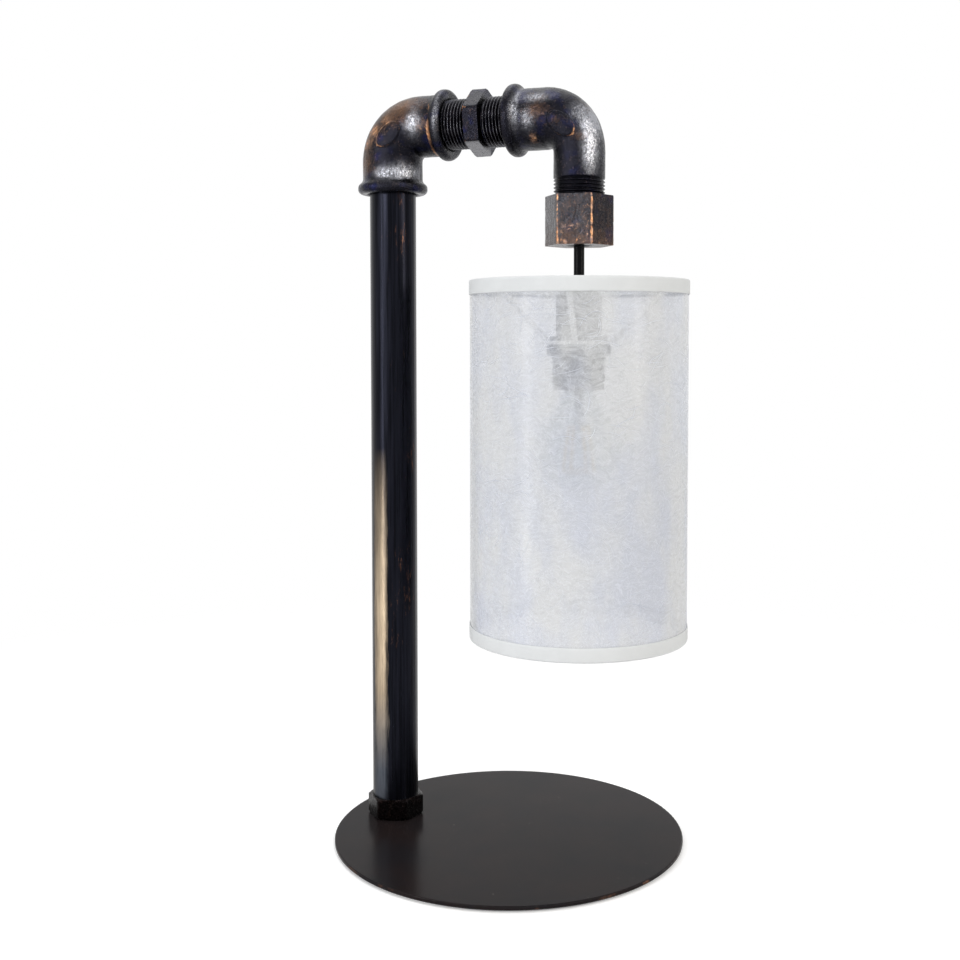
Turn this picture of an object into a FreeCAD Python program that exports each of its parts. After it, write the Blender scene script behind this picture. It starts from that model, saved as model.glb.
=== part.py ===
import FreeCAD, Part
import math
import os

# Table lamp made of pipe fittings, in millimetres, +Z up.
# The origin is the centre of the base disc on the surface that the lamp stands on.
# The arm points along +X, from the tube to the hanging shade.

V = FreeCAD.Vector
UP = V(0, 0, 1)
ALONG = V(1, 0, 0)
ACROSS = V(0, 1, 0)

# Base
base_radius = 93.0
plate_thickness = 2.2
plate_edge_round = 0.6
felt_thickness = 1.0
felt_inset = 2.5

# Places of the two vertical axes
tube_from_edge = 25.0  # from the base's edge in to the tube's axis
arm_length = 107.0  # between the tube's axis and the hanging axis
arm_height = 378.0  # from the top of the base plate to the arm's axis

# Tube and its foot
tube_outer_radius = 12.5
tube_wall = 2.0
foot_nut_flats = 27.0
foot_nut_height = 11.5
foot_nut_turn = 17.0  # degrees about the tube
foot_nut_chamfer = 2.0
foot_spigot = 20.0  # how far the foot insert goes up into the tube
foot_screw_circle = 13.0
foot_screw_count = 3
foot_screw_radius = 2.0
foot_screw_head_radius = 4.0
foot_screw_head_height = 2.0
foot_screw_length = 12.0
foot_screw_recess = 4.4  # across the arms of the cross recess
cross_recess_width = 0.9
cross_recess_depth = 1.2
inlet_height = 48.0  # from the top of the base plate
grommet_radius = 4.6
grommet_flange_radius = 6.0
grommet_flange = 1.2

# Pipe threads, three quarters of an inch
thread_radius = 13.22
thread_pitch = 1.814
thread_depth = 1.1
thread_clearance = 0.05
bore_chamfer = 1.0
screw_slot_width = 0.6  # slots of the small straight-slot screws
screw_slot_depth = 0.7

# Elbows
elbow_reach = 35.5  # mouth face to axis, female mouths of the lower elbow
street_reach = 37.5  # mouth face to axis, female mouth of the street elbow
elbow_body_radius = 16.2
elbow_passage_radius = 10.5
elbow_bend = 18.0
elbow_thread_length = 16.0
bead_radius = 18.8
bead_flat = 0.8
bead_round = 2.6
bead_fillet = 3.2
street_body_radius = 15.9
street_leg_radius = 13.3
street_passage_radius = 9.5
male_thread_start = 31.5  # from the arm's axis down to the first thread
male_leg = 47.5  # from the arm's axis down to the end of the leg
pad_length = 16.0  # plain raised oval on each elbow's bend
pad_height = 10.0
pad_rise = 0.7
pad_tilt = 40.0

# Hexagon nipple and cap
nipple_hex_flats = 31.0
nipple_hex_width = 8.2
nipple_hex_turn = 10.0
nipple_in_mouth = 6.6  # how far each end is screwed into an elbow
nipple_bore_radius = 9.5
cap_flats = 31.4
cap_top = 40.6  # from the arm's axis down to the cap's top face
cap_height = 25.4
cap_turn = 9.4
cap_wall = 3.0
cap_hole_radius = 6.5
hex_edge = 0.4  # small chamfer on the nipple's and the cap's corners
hex_chamfer_angle = 30.0

# Threaded adaptor that joins the tube to the lower elbow
adaptor_spigot = 20.0
adaptor_thread_length = 10.0
adaptor_bore_radius = 7.0
tube_in_mouth = 5.0

# Cord
cord_radius = 2.75
cord_fit = 0.1
part_gap = 0.3
bend_above_cap_face = 1.5  # first bend, about the axis across the arm
bend_below_cap_face = 9.0  # second bend, about the axis along the arm
lead_corner = 24.0
inlet_corner = 14.0
inlet_shift = 4.5
inlet_rise = 36.0
inlet_drift = 60.0  # height over which the lead comes back to the tube's axis

# Bush and clamp inside the cap
bush_flange_radius = 9.5
bush_flange = 2.0
bush_fit = 0.2
bush_throat = 2.2  # from the first bend up to where the mouth starts to flare
bush_flare = 3.9
bush_lip = 0.4  # ring left round the mouth
clamp_length = 18.0
clamp_width = 15.0
clamp_height = 8.5
clamp_split = 0.6
clamp_screw_place = 6.2
clamp_screw_radius = 1.25
clamp_screw_head_radius = 2.25
clamp_screw_head_height = 1.4
clamp_screw_end = 1.0  # how far the screw's end stays inside the clamp

# Shade
shade_radius = 56.8
shade_height = 185.5
shade_gap = 17.7  # from the cap's lower face down to the shade's upper edge
skin_thickness = 0.8
trim_thickness = 0.4
trim_width = 7.4
trim_inner_width = 6.0
trim_corner = 0.3
wire_radius = 1.3
spider_hub_radius = 20.0
spider_hub_thickness = 1.6
spider_arm_radius = 1.5
spider_arm_count = 3
spider_turn = 43.0
spider_slot = 0.4
spider_weld = 1.0  # how far an arm lies over the hub's edge

# Lampholder, small screw size, heights down from its upper end
holder_below_edge = 5.4  # from the shade's upper edge
holder_cover_radius = 11.8
holder_cover_height = 23.4
holder_wall = 1.6
holder_shoulder = 4.5
grip_radius = 6.2
grip_rise = 4.6
grip_thread_radius = 4.9
grip_thread_length = 4.0
grip_edge = 0.8
grip_screw_radius = 1.5
grip_screw_sunk = 0.3
skirt_lip_radius = 15.0
skirt_lip = 2.4
skirt_radius = 13.9
skirt_height = 27.4
skirt_wall = 1.5
skirt_spigot = 7.0
skirt_spigot_wall = 1.3
skirt_thread_pitch = 2.0
skirt_thread_depth = 0.7
skirt_thread_end = 3.0
skirt_thread_seat = 1.2  # from the thread's crests to the wall's outer face
ring_radius = 16.6
ring_height = 6.2
ring_edge = 0.8
ring_groove_count = 12
ring_groove_radius = 1.0
ring_groove_place = 0.35  # from the ring's outer face out to the groove's axis
insert_block_radius = 8.4
insert_block_height = 9.0
insert_flange = 3.0
insert_barrel_radius = 9.4
insert_barrel = 18.0
insert_rim = 2.0
insert_ledge = 1.8  # from the sleeve's outer face in to the contact chamber
sleeve_wall = 0.4
sleeve_length = 16.0
sleeve_drop = 1.5  # from the insert's flange down to the sleeve
contact_rise = 0.6  # from the insert's flange up to the centre contact
core_radius = 1.1
core_place = 5.2
core_gap = 0.3  # between the two cores where they leave the sheath
core_straight = 2.2
core_spread = 4.2  # height over which a core runs out to its terminal
core_bend = 2.4
sheath_end = 9.0  # from the holder's upper end down to the end of the sheath
terminal_screw_radius = 1.5
terminal_screw_drop = 2.8  # from the block's top
terminal_depth = 5.0
terminal_seat = 2.4  # from the core's side to the screw's inner end, and the block's side
strip_thickness = 0.5
strip_width = 3.6
strip_slot = 0.1
contact_overlap = 2.0  # how far the tongue reaches past the middle

# Bulb, golf-ball shape with the small screw cap
bulb_shell_radius = 6.9
bulb_sleeve_fit = 0.3
bulb_shell_length = 18.0
bulb_thread_pitch = 2.82
bulb_thread_depth = 0.45
bulb_shell_wall = 0.4
bulb_rim = 0.25
bulb_rim_height = 1.2
bulb_insulator_height = 2.6
bulb_insulator_inset = 1.0
bulb_insulator_top = 0.6  # ring of insulator left round the tip
bulb_contact_radius = 2.4
bulb_contact_height = 1.4
bulb_contact_side = 0.5
bulb_contact_tip_radius = 1.3
bulb_tip_gap = 0.3
bulb_glass_radius = 22.5
bulb_glass_wall = 0.8
bulb_neck_radius = 8.0
bulb_neck_straight = 3.0
bulb_join_angle = 44.0  # where the globe runs into the neck, above its middle
bulb_waist = 0.8  # how far the neck is drawn in between the cap and the globe
bulb_length = 78.0
filament_count = 4
filament_radius = 0.8
filament_length = 24.0
filament_circle = 9.0
filament_top_circle = 5.6
filament_wire = 0.35
filament_wire_drop = 1.0
stem_radius = 2.2
stem_foot_height = 1.2
stem_cone_height = 4.0
stem_cone_radius = 2.6
stem_taper_end = 8.0
stem_below_filaments = 2.0

# Worked-out places
plate_bottom = felt_thickness
plate_top = plate_bottom + plate_thickness
tube_x = tube_from_edge - base_radius
hang_x = tube_x + arm_length
arm_z = plate_top + arm_height
tube_bottom = plate_top + foot_nut_height
tube_top = arm_z - elbow_reach + tube_in_mouth
tube_inner_radius = tube_outer_radius - tube_wall
mating_radius = thread_radius + thread_clearance
lower_mouth_x = tube_x + elbow_reach
street_mouth_x = hang_x - street_reach
nipple_middle = (lower_mouth_x + street_mouth_x) / 2
nipple_end = (street_mouth_x - lower_mouth_x) / 2 + nipple_in_mouth
cap_top_z = arm_z - cap_top
cap_face = cap_top_z - cap_height
cap_floor = cap_face + cap_wall
first_bend = cap_face + bend_above_cap_face
second_bend = cap_face - bend_below_cap_face
inlet_z = plate_top + inlet_height
shade_top = cap_face - shade_gap
shade_bottom = shade_top - shade_height
holder_top = shade_top - holder_below_edge
skirt_top = holder_top - holder_cover_height
skirt_bottom = skirt_top - skirt_height
grip_top = holder_top + grip_rise
skin_radius = shade_radius - trim_thickness
skin_inner_radius = skin_radius - skin_thickness
edge_wire_circle = skin_inner_radius - wire_radius
top_wire_z = shade_top - trim_thickness - wire_radius
bottom_wire_z = shade_bottom + trim_thickness + wire_radius
hub_z = skirt_top - skirt_lip - spider_hub_thickness
insert_z = skirt_top - insert_flange
sleeve_inner_radius = bulb_shell_radius + bulb_sleeve_fit
sleeve_radius = sleeve_inner_radius + sleeve_wall
sleeve_top = insert_z - sleeve_drop
contact_z = insert_z + contact_rise
bulb_tip = contact_z - bulb_tip_gap
bulb_shell_top = bulb_tip - bulb_contact_height - bulb_insulator_height
bulb_shell_bottom = bulb_shell_top - bulb_shell_length
bulb_middle = bulb_tip - bulb_length + bulb_glass_radius
skirt_inner_radius = skirt_radius - skirt_thread_seat - skirt_wall
block_top = insert_z + insert_block_height
terminal_floor = block_top - terminal_depth
grip_middle = holder_top + grip_rise / 2
filament_top = bulb_middle + filament_length / 2
lead_end_top = holder_top - holder_wall
side_strip = sleeve_radius - strip_thickness / 2 - thread_clearance


def save(name, *shapes):
    """Writes one node, as one solid or as a group of separate solids."""
    shape = shapes[0] if len(shapes) == 1 else Part.makeCompound(list(shapes))
    solids = shape.Solids
    if len(solids) == 1:
        shape = solids[0]
    if not shape.isValid():
        print("not valid:", name)
    print(name, len(solids), round(sum(s.Volume for s in solids), 1))
    shape.exportStep("parts/" + name + ".step")


def cylinder(radius, height, at, direction=UP):
    return Part.makeCylinder(radius, height, at, direction)


def ring(outer, inner, height, at, direction=UP):
    return cylinder(outer, height, at, direction).cut(cylinder(inner, height, at, direction))


def box(size, low):
    return Part.makeBox(size[0], size[1], size[2], V(*low))


def lathe(outline, at, direction=UP):
    """Turns an outline of (radius, height) points, with arcs given as ("arc", middle, end)."""
    edges = []
    here = outline[0]
    for step in outline[1:] + [outline[0]]:
        if step[0] == "arc":
            middle, there = step[1], step[2]
            points = [V(p[0], 0, p[1]) for p in (here, middle, there)]
            edges.append(Part.Arc(*points).toShape())
        else:
            there = step
            if math.dist(here, there) > 1e-6:
                edges.append(Part.LineSegment(V(here[0], 0, here[1]), V(there[0], 0, there[1])).toShape())
        here = there
    face = Part.Face(Part.Wire(edges))
    solid = face.revolve(V(0, 0, 0), UP, 360)
    solid = solid if isinstance(solid, Part.Solid) else Part.Solid(solid.Shells[0])
    if solid.Volume < 0:
        solid.reverse()
    solid.Placement = FreeCAD.Placement(at, FreeCAD.Rotation(UP, direction))
    return solid


def turned(shape, degrees, at, axis=UP):
    copy = shape.copy()
    copy.rotate(at, axis, degrees)
    return copy


def hexagon(flats, height, at, direction, turn, chamfer):
    """Hexagonal bar with turned chamfers at its ends."""
    corner = flats / math.sqrt(3)
    points = [V(corner * math.cos(math.radians(60 * i)), corner * math.sin(math.radians(60 * i)), 0)
              for i in range(7)]
    bar = Part.Face(Part.makePolygon(points)).extrude(V(0, 0, height))
    past = corner + 1
    drop = (chamfer + 1) * math.tan(math.radians(hex_chamfer_angle))
    limit = lathe([(0, 0), (corner - chamfer, 0), (past, drop), (past, height - drop),
                   (corner - chamfer, height), (0, height)], V(0, 0, 0))
    solid = turned(bar.common(limit).Solids[0], turn, V(0, 0, 0))
    solid.Placement = FreeCAD.Placement(at, FreeCAD.Rotation(UP, direction)).multiply(solid.Placement)
    return solid


def thread_outline(start, length, radius=thread_radius, pitch=thread_pitch, depth=thread_depth):
    """The toothed side of a male thread, from start over its length, as (radius, height) points."""
    count = max(1, int(length / pitch))
    spare = length - count * pitch
    root = radius - depth
    flat = pitch / 8
    points = [(root, start), (root, start + spare / 2)]
    for i in range(count):
        low = start + spare / 2 + i * pitch
        points += [(root, low + flat), (radius, low + pitch / 2 - flat / 2),
                   (radius, low + pitch / 2 + flat / 2), (root, low + pitch - flat)]
    return points + [(root, start + length)]


def path(points, radii):
    """A wire of straight runs joined by tangent arcs of the given radii."""
    edges = []
    here = points[0]
    for i in range(1, len(points) - 1):
        before = (points[i - 1] - points[i]).normalize()
        after = (points[i + 1] - points[i]).normalize()
        half = before.getAngle(after) / 2
        back = radii[i - 1] / math.tan(half)
        start = points[i] + before * back
        end = points[i] + after * back
        inward = (before + after).normalize()
        centre = points[i] + inward * (radii[i - 1] / math.sin(half))
        middle = centre - inward * radii[i - 1]
        if (start - here).Length > 1e-6:
            edges.append(Part.LineSegment(here, start).toShape())
        edges.append(Part.Arc(start, middle, end).toShape())
        here = end
    edges.append(Part.LineSegment(here, points[-1]).toShape())
    return Part.Wire(edges)


def run_along(wire, radius):
    """A round tube of one radius along a wire."""
    first = wire.Edges[0]
    start = first.valueAt(first.FirstParameter)
    heading = first.tangentAt(first.FirstParameter)
    section = Part.Wire([Part.makeCircle(radius, start, heading)])
    solid = wire.makePipeShell([section], True, False)
    print("  length", round(wire.Length, 1), "volume ratio",
          round(solid.Volume / (math.pi * radius ** 2 * wire.Length), 4))
    return solid


def mouth_leg(body_radius, start, reach, at, direction):
    """A straight leg that swells into a rounded bead. Start and reach are measured from the elbow's corner."""
    swell = math.acos(1 - (bead_radius - body_radius) / (bead_fillet + bead_round))
    widest = reach - bead_round - bead_flat
    foot = widest - (bead_fillet + bead_round) * math.sin(swell)

    def on_fillet(angle):
        return (body_radius + bead_fillet * (1 - math.cos(angle)), foot + bead_fillet * math.sin(angle))

    def on_bead(angle):
        return (bead_radius - bead_round * (1 - math.cos(angle)), widest - bead_round * math.sin(angle))

    side = bead_round * math.sqrt(0.5)
    outline = [(0, start), (body_radius, start), (body_radius, foot),
               ("arc", on_fillet(swell / 2), on_fillet(swell)),
               ("arc", on_bead(swell / 2), on_bead(0)),
               (bead_radius, widest + bead_flat),
               ("arc", (bead_radius - bead_round + side, widest + bead_flat + side),
                (bead_radius - bead_round, reach)),
               (0, reach)]
    return lathe(outline, at, direction)


def mouth_bore(passage_radius, start, reach, at, direction):
    """The hole in a beaded leg: a passage, the threaded part and a chamfer at the mouth."""
    shoulder = reach - elbow_thread_length
    outline = [(0, start), (passage_radius, start), (passage_radius, shoulder), (mating_radius, shoulder),
               (mating_radius, reach - bore_chamfer), (mating_radius + bore_chamfer, reach), (0, reach)]
    return lathe(outline, at, direction)


def bend_body(corner, out, down, bend, radius_out, radius_down):
    """A quarter bend between two legs, with a section that changes evenly from one to the other."""
    centre = corner + out * bend + down * bend
    steps = 6 if abs(radius_out - radius_down) > 1e-6 else 0
    if not steps:
        face = Part.Face(Part.Wire([Part.makeCircle(radius_out, corner + down * bend, down)]))
        solid = face.revolve(centre, (-out).cross(-down), 90)
        if solid.CenterOfMass.distanceToPoint(corner) > solid.CenterOfMass.distanceToPoint(centre) + bend:
            solid = face.revolve(centre, out.cross(down), 90)
        return Part.Solid(solid.Shells[0]) if not solid.Solids else solid.Solids[0]
    sections = []
    for i in range(steps + 1):
        angle = math.radians(90 * i / steps)
        spoke = (-down) * math.cos(angle) + (-out) * math.sin(angle)
        heading = (-out) * math.cos(angle) + down * math.sin(angle)
        share = (1 - math.cos(math.radians(180 * i / steps))) / 2
        radius = radius_out + (radius_down - radius_out) * share
        sections.append(Part.Wire([Part.makeCircle(radius, centre + spoke * bend, heading)]))
    return Part.makeLoft(sections, True, False)


def oval_pad(raised_bend, middle, tilt):
    """A plain raised oval on the front of a bend: the part of a slightly thicker bend inside an oval bar."""
    flat = Part.Ellipse(V(0, 0, 0), pad_length / 2, pad_height / 2).toShape()
    bar = Part.Face(Part.Wire([flat])).extrude(V(0, 0, bead_radius * 2))
    lying = FreeCAD.Rotation(ALONG, 90)
    lean = FreeCAD.Rotation(ACROSS, tilt)
    bar.Placement = FreeCAD.Placement(middle, lean.multiply(lying))
    return bar.common(raised_bend)


def base_plate():
    outline = [(0, plate_bottom), (base_radius - plate_edge_round, plate_bottom),
               (base_radius, plate_bottom + plate_edge_round), (base_radius, plate_top - plate_edge_round),
               ("arc", (base_radius - plate_edge_round * (1 - math.sqrt(0.5)),
                        plate_top - plate_edge_round * (1 - math.sqrt(0.5))),
                (base_radius - plate_edge_round, plate_top)), (0, plate_top)]
    plate = lathe(outline, V(0, 0, 0))
    for x, y in foot_screw_places():
        plate = plate.cut(foot_screw_shape(x, y, thread_clearance))
    return plate


def foot_screw_places():
    for i in range(foot_screw_count):
        angle = math.radians(foot_nut_turn + 360 * i / foot_screw_count)
        yield (tube_x + foot_screw_circle / 2 * math.cos(angle), foot_screw_circle / 2 * math.sin(angle))


def foot_screw_shape(x, y, clearance=0.0):
    head = foot_screw_head_radius + clearance
    shank = foot_screw_radius + clearance
    outline = [(0, 0), (head, 0), (shank, foot_screw_head_height), (shank, foot_screw_length + clearance),
               (0, foot_screw_length + clearance)]
    return lathe(outline, V(x, y, plate_bottom))


def foot_screws():
    """Countersunk screws with a cross recess, from below."""
    screws = []
    for x, y in foot_screw_places():
        screw = foot_screw_shape(x, y)
        for wide, deep in ((foot_screw_recess, cross_recess_width), (cross_recess_width, foot_screw_recess)):
            low = (x - wide / 2, y - deep / 2, plate_bottom)
            screw = screw.cut(box((wide, deep, cross_recess_depth), low))
        screws.append(screw)
    return screws


def base_felt():
    """Felt under the plate, open round the screw heads."""
    opening = foot_screw_circle / 2 + foot_screw_head_radius + felt_inset
    felt = cylinder(base_radius - felt_inset, felt_thickness, V(0, 0, 0))
    return felt.cut(cylinder(opening, felt_thickness, V(tube_x, 0, 0)))


def foot_insert():
    """Turned steel plug in the tube's lower end, tapped for the foot screws."""
    radius = tube_inner_radius
    insert = cylinder(radius, foot_nut_height + foot_spigot, V(tube_x, 0, plate_top))
    for x, y in foot_screw_places():
        insert = insert.cut(foot_screw_shape(x, y, thread_clearance))
    return insert


def foot_nut():
    nut = hexagon(foot_nut_flats, foot_nut_height, V(tube_x, 0, plate_top), UP, foot_nut_turn,
                  foot_nut_chamfer)
    return nut.cut(cylinder(tube_inner_radius + thread_clearance, foot_nut_height, V(tube_x, 0, plate_top)))


def stem_tube():
    tube = ring(tube_outer_radius, tube_inner_radius, tube_top - tube_bottom, V(tube_x, 0, tube_bottom))
    return tube.cut(cylinder(grommet_radius, tube_outer_radius * 2, V(tube_x, 0, inlet_z), ACROSS))


def cable_grommet():
    """Rubber ring in the hole at the back of the tube, with a lip on both sides of the wall."""
    inner = cord_radius + thread_clearance
    out = tube_outer_radius
    start = tube_inner_radius - grommet_flange
    barrel = ring(grommet_radius, inner, out - start + grommet_flange, V(tube_x, start, inlet_z), ACROSS)
    lip = ring(grommet_flange_radius, inner, grommet_flange * 2, V(tube_x, out - grommet_flange, inlet_z),
               ACROSS)
    wall = cylinder(tube_outer_radius, grommet_flange_radius * 4,
                    V(tube_x, 0, inlet_z - grommet_flange_radius * 2))
    return barrel.fuse(lip.cut(wall)).removeSplitter()


def stem_adaptor():
    """Threaded adaptor: a spigot in the tube's upper end and a pipe thread in the elbow."""
    low = tube_top - adaptor_spigot
    outline = [(adaptor_bore_radius, low), (tube_inner_radius - thread_clearance, low),
               (tube_inner_radius - thread_clearance, tube_top)]
    outline += thread_outline(tube_top, adaptor_thread_length)
    outline += [(adaptor_bore_radius, tube_top + adaptor_thread_length)]
    return lathe(outline, V(tube_x, 0, 0))


def lower_elbow():
    corner = V(tube_x, 0, arm_z)
    down = V(0, 0, -1)
    body = bend_body(corner, ALONG, down, elbow_bend, elbow_body_radius, elbow_body_radius)
    for direction in (ALONG, down):
        body = body.fuse(mouth_leg(elbow_body_radius, elbow_bend, elbow_reach, corner, direction))
    pad_middle = corner + (ALONG + down) * (elbow_bend * (1 - math.sqrt(0.5)))
    raised_radius = elbow_body_radius + pad_rise
    raised = bend_body(corner, ALONG, down, elbow_bend, raised_radius, raised_radius)
    body = body.fuse(oval_pad(raised, pad_middle, -pad_tilt))
    body = body.cut(bend_body(corner, ALONG, down, elbow_bend, elbow_passage_radius, elbow_passage_radius))
    for direction in (ALONG, down):
        body = body.cut(mouth_bore(elbow_passage_radius, elbow_bend, elbow_reach, corner, direction))
    return body.removeSplitter()


def street_elbow():
    corner = V(hang_x, 0, arm_z)
    down = V(0, 0, -1)
    back = V(-1, 0, 0)
    body = bend_body(corner, back, down, elbow_bend, street_body_radius, street_leg_radius)
    body = body.fuse(mouth_leg(street_body_radius, elbow_bend, street_reach, corner, back))
    leg = [(0, elbow_bend), (street_leg_radius, elbow_bend), (street_leg_radius, male_thread_start)]
    leg += thread_outline(male_thread_start, male_leg - male_thread_start)
    body = body.fuse(lathe(leg + [(0, male_leg)], corner, down))
    pad_middle = corner + (back + down) * (elbow_bend * (1 - math.sqrt(0.5)))
    raised = bend_body(corner, back, down, elbow_bend, street_body_radius + pad_rise,
                       street_leg_radius + pad_rise)
    body = body.fuse(oval_pad(raised, pad_middle, pad_tilt))
    body = body.cut(bend_body(corner, back, down, elbow_bend, street_passage_radius, street_passage_radius))
    body = body.cut(mouth_bore(street_passage_radius, elbow_bend, street_reach, corner, back))
    body = body.cut(cylinder(street_passage_radius, male_leg - elbow_bend, corner + down * elbow_bend, down))
    return body.removeSplitter()


def hex_nipple():
    half_hex = nipple_hex_width / 2
    threaded = nipple_end - half_hex
    outline = [(nipple_bore_radius, -nipple_end)]
    outline += thread_outline(-nipple_end, threaded)
    outline += thread_outline(half_hex, threaded)
    outline += [(nipple_bore_radius, nipple_end)]
    middle = V(nipple_middle, 0, arm_z)
    barrel = lathe(outline, middle, ALONG)
    # The bar's first corner points to -Z when the bar lies along the arm.
    start = middle - ALONG * half_hex
    nut = hexagon(nipple_hex_flats, nipple_hex_width, start, ALONG, nipple_hex_turn, hex_edge)
    nut = nut.cut(cylinder(nipple_bore_radius, nipple_hex_width, start, ALONG))
    return barrel.fuse(nut).removeSplitter()


def hex_cap():
    cap = hexagon(cap_flats, cap_height, V(hang_x, 0, cap_face), UP, cap_turn, hex_edge)
    bore = [(0, cap_floor), (mating_radius, cap_floor), (mating_radius, cap_top_z - bore_chamfer),
            (mating_radius + bore_chamfer, cap_top_z), (0, cap_top_z)]
    cap = cap.cut(lathe(bore, V(hang_x, 0, 0)))
    return cap.cut(cylinder(cap_hole_radius + thread_clearance, cap_wall, V(hang_x, 0, cap_face)))


def cap_bush():
    """Bell-mouthed bush in the cap's hole, round which the cord bends when the shade swings."""
    throat = cord_radius + bush_fit
    flare_top = first_bend + bush_throat
    top = cap_floor + bush_flange
    drop = flare_top - cap_face
    spread = throat + bush_flare - math.sqrt(max(bush_flare ** 2 - drop ** 2, 0))
    part_way = drop / 2
    middle = throat + bush_flare - math.sqrt(bush_flare ** 2 - part_way ** 2)
    mouth = min(spread, cap_hole_radius - bush_lip)
    outline = [(throat, top), (throat, flare_top),
               ("arc", (middle, flare_top - part_way), (mouth, cap_face)),
               (cap_hole_radius, cap_face), (cap_hole_radius, cap_floor), (bush_flange_radius, cap_floor),
               (bush_flange_radius, top)]
    return lathe(outline, V(hang_x, 0, 0))


def clamp_screw_places():
    low = cap_floor + bush_flange
    for side in (-1, 1):
        yield V(hang_x + side * clamp_screw_place, 0, low + clamp_height / 2)


def cord_clamp():
    """Two halves that grip the cord above the bush."""
    low = cap_floor + bush_flange
    half = (clamp_width - clamp_split) / 2
    halves = []
    for side in (-1, 1):
        y = clamp_split / 2 if side > 0 else -clamp_width / 2
        block = box((clamp_length, half, clamp_height), (hang_x - clamp_length / 2, y, low))
        block = block.cut(cylinder(cord_radius, clamp_height, V(hang_x, 0, low)))
        for place in clamp_screw_places():
            block = block.cut(cylinder(clamp_screw_radius + thread_clearance, clamp_width,
                                       place - ACROSS * (clamp_width / 2), ACROSS))
        halves.append(block)
    return halves


def clamp_screws():
    screws = []
    for place in clamp_screw_places():
        seat = place - ACROSS * (clamp_width / 2)
        start = seat - ACROSS * clamp_screw_head_height
        screw = cylinder(clamp_screw_head_radius, clamp_screw_head_height, start, ACROSS)
        screw = screw.fuse(cylinder(clamp_screw_radius, clamp_width - clamp_screw_end, seat, ACROSS))
        slot = screw_slot(clamp_screw_head_radius, start)
        screws.append(screw.cut(slot).removeSplitter())
    return screws


def lead_inside():
    """The cord from the inlet, up the tube and through the fittings, to the first bend in the bush."""
    last = first_bend + cord_radius + part_gap
    outside = tube_outer_radius - grommet_flange
    rest = inlet_z + inlet_rise
    points = [V(tube_x, outside, inlet_z), V(tube_x, -inlet_shift, inlet_z), V(tube_x, -inlet_shift, rest),
              V(tube_x, 0, rest + inlet_drift), V(tube_x, 0, arm_z), V(hang_x, 0, arm_z), V(hang_x, 0, last)]
    radii = [inlet_corner, inlet_drift, inlet_drift, lead_corner, lead_corner]
    return run_along(path(points, radii), cord_radius)


def cord_stretch(top, bottom):
    """A stretch that swings: round at its upper end, so that it turns clear of the stretch above."""
    part_way = cord_radius * math.sqrt(0.5)
    outline = [(0, bottom), (cord_radius, bottom), (cord_radius, top),
               ("arc", (part_way, top + part_way), (0, top + cord_radius))]
    return lathe(outline, V(hang_x, 0, 0))


def cord_grip():
    """Plastic gland that carries the lampholder on the cord."""
    bore = cord_radius + cord_fit
    low = holder_top - grip_thread_length
    outline = [(bore, low), (grip_thread_radius, low), (grip_thread_radius, holder_top),
               (grip_radius, holder_top), (grip_radius, grip_top - grip_edge),
               (grip_radius - grip_edge, grip_top), (bore, grip_top)]
    grip = lathe(outline, V(hang_x, 0, 0))
    hole = grip_screw_radius + thread_clearance
    return grip.cut(cylinder(hole, grip_radius * 2, V(hang_x, 0, grip_middle), ALONG))


def grip_screw():
    """Nylon set screw in the side of the gland."""
    start = cord_radius + cord_fit
    end = grip_radius - grip_screw_sunk
    screw = cylinder(grip_screw_radius, end - start, V(hang_x + start, 0, grip_middle), ALONG)
    slot = box((screw_slot_depth, screw_slot_width, grip_screw_radius * 2),
               (hang_x + end - screw_slot_depth, -screw_slot_width / 2, grip_middle - grip_screw_radius))
    return screw.cut(slot)


def holder_cover():
    """Upper shell of the lampholder, with a rounded shoulder."""
    r = holder_cover_radius
    inner = r - holder_wall
    top = holder_top
    turn = 1 - math.sqrt(0.5)
    outside = holder_shoulder
    inside = holder_shoulder - holder_wall
    hole = grip_thread_radius + thread_clearance
    outline = [(hole, top), (r - outside, top),
               ("arc", (r - outside * turn, top - outside * turn), (r, top - outside)),
               (r, skirt_top), (inner, skirt_top), (inner, top - outside),
               ("arc", (inner - inside * turn, top - holder_wall - inside * turn),
                (inner - inside, top - holder_wall)),
               (hole, top - holder_wall)]
    return lathe(outline, V(hang_x, 0, 0))


def holder_skirt():
    """Lower shell, threaded outside for the shade ring, with a lip that the shade hangs against."""
    outer = skirt_radius
    inner = skirt_inner_radius
    spigot = holder_cover_radius - holder_wall - thread_clearance
    spigot_inner = spigot - skirt_spigot_wall
    under_lip = skirt_top - skirt_lip
    outline = [(spigot_inner, skirt_top + skirt_spigot), (spigot, skirt_top + skirt_spigot),
               (spigot, skirt_top), (skirt_lip_radius, skirt_top), (skirt_lip_radius, under_lip)]
    threaded = skirt_height - skirt_lip - skirt_thread_end
    side = thread_outline(0, threaded, outer, skirt_thread_pitch, skirt_thread_depth)
    outline += [(radius, under_lip - height) for radius, height in side]
    outline += [(outer - skirt_thread_depth, skirt_bottom), (inner, skirt_bottom), (inner, insert_z),
                (spigot_inner, insert_z)]
    return lathe(outline, V(hang_x, 0, 0))


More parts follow.
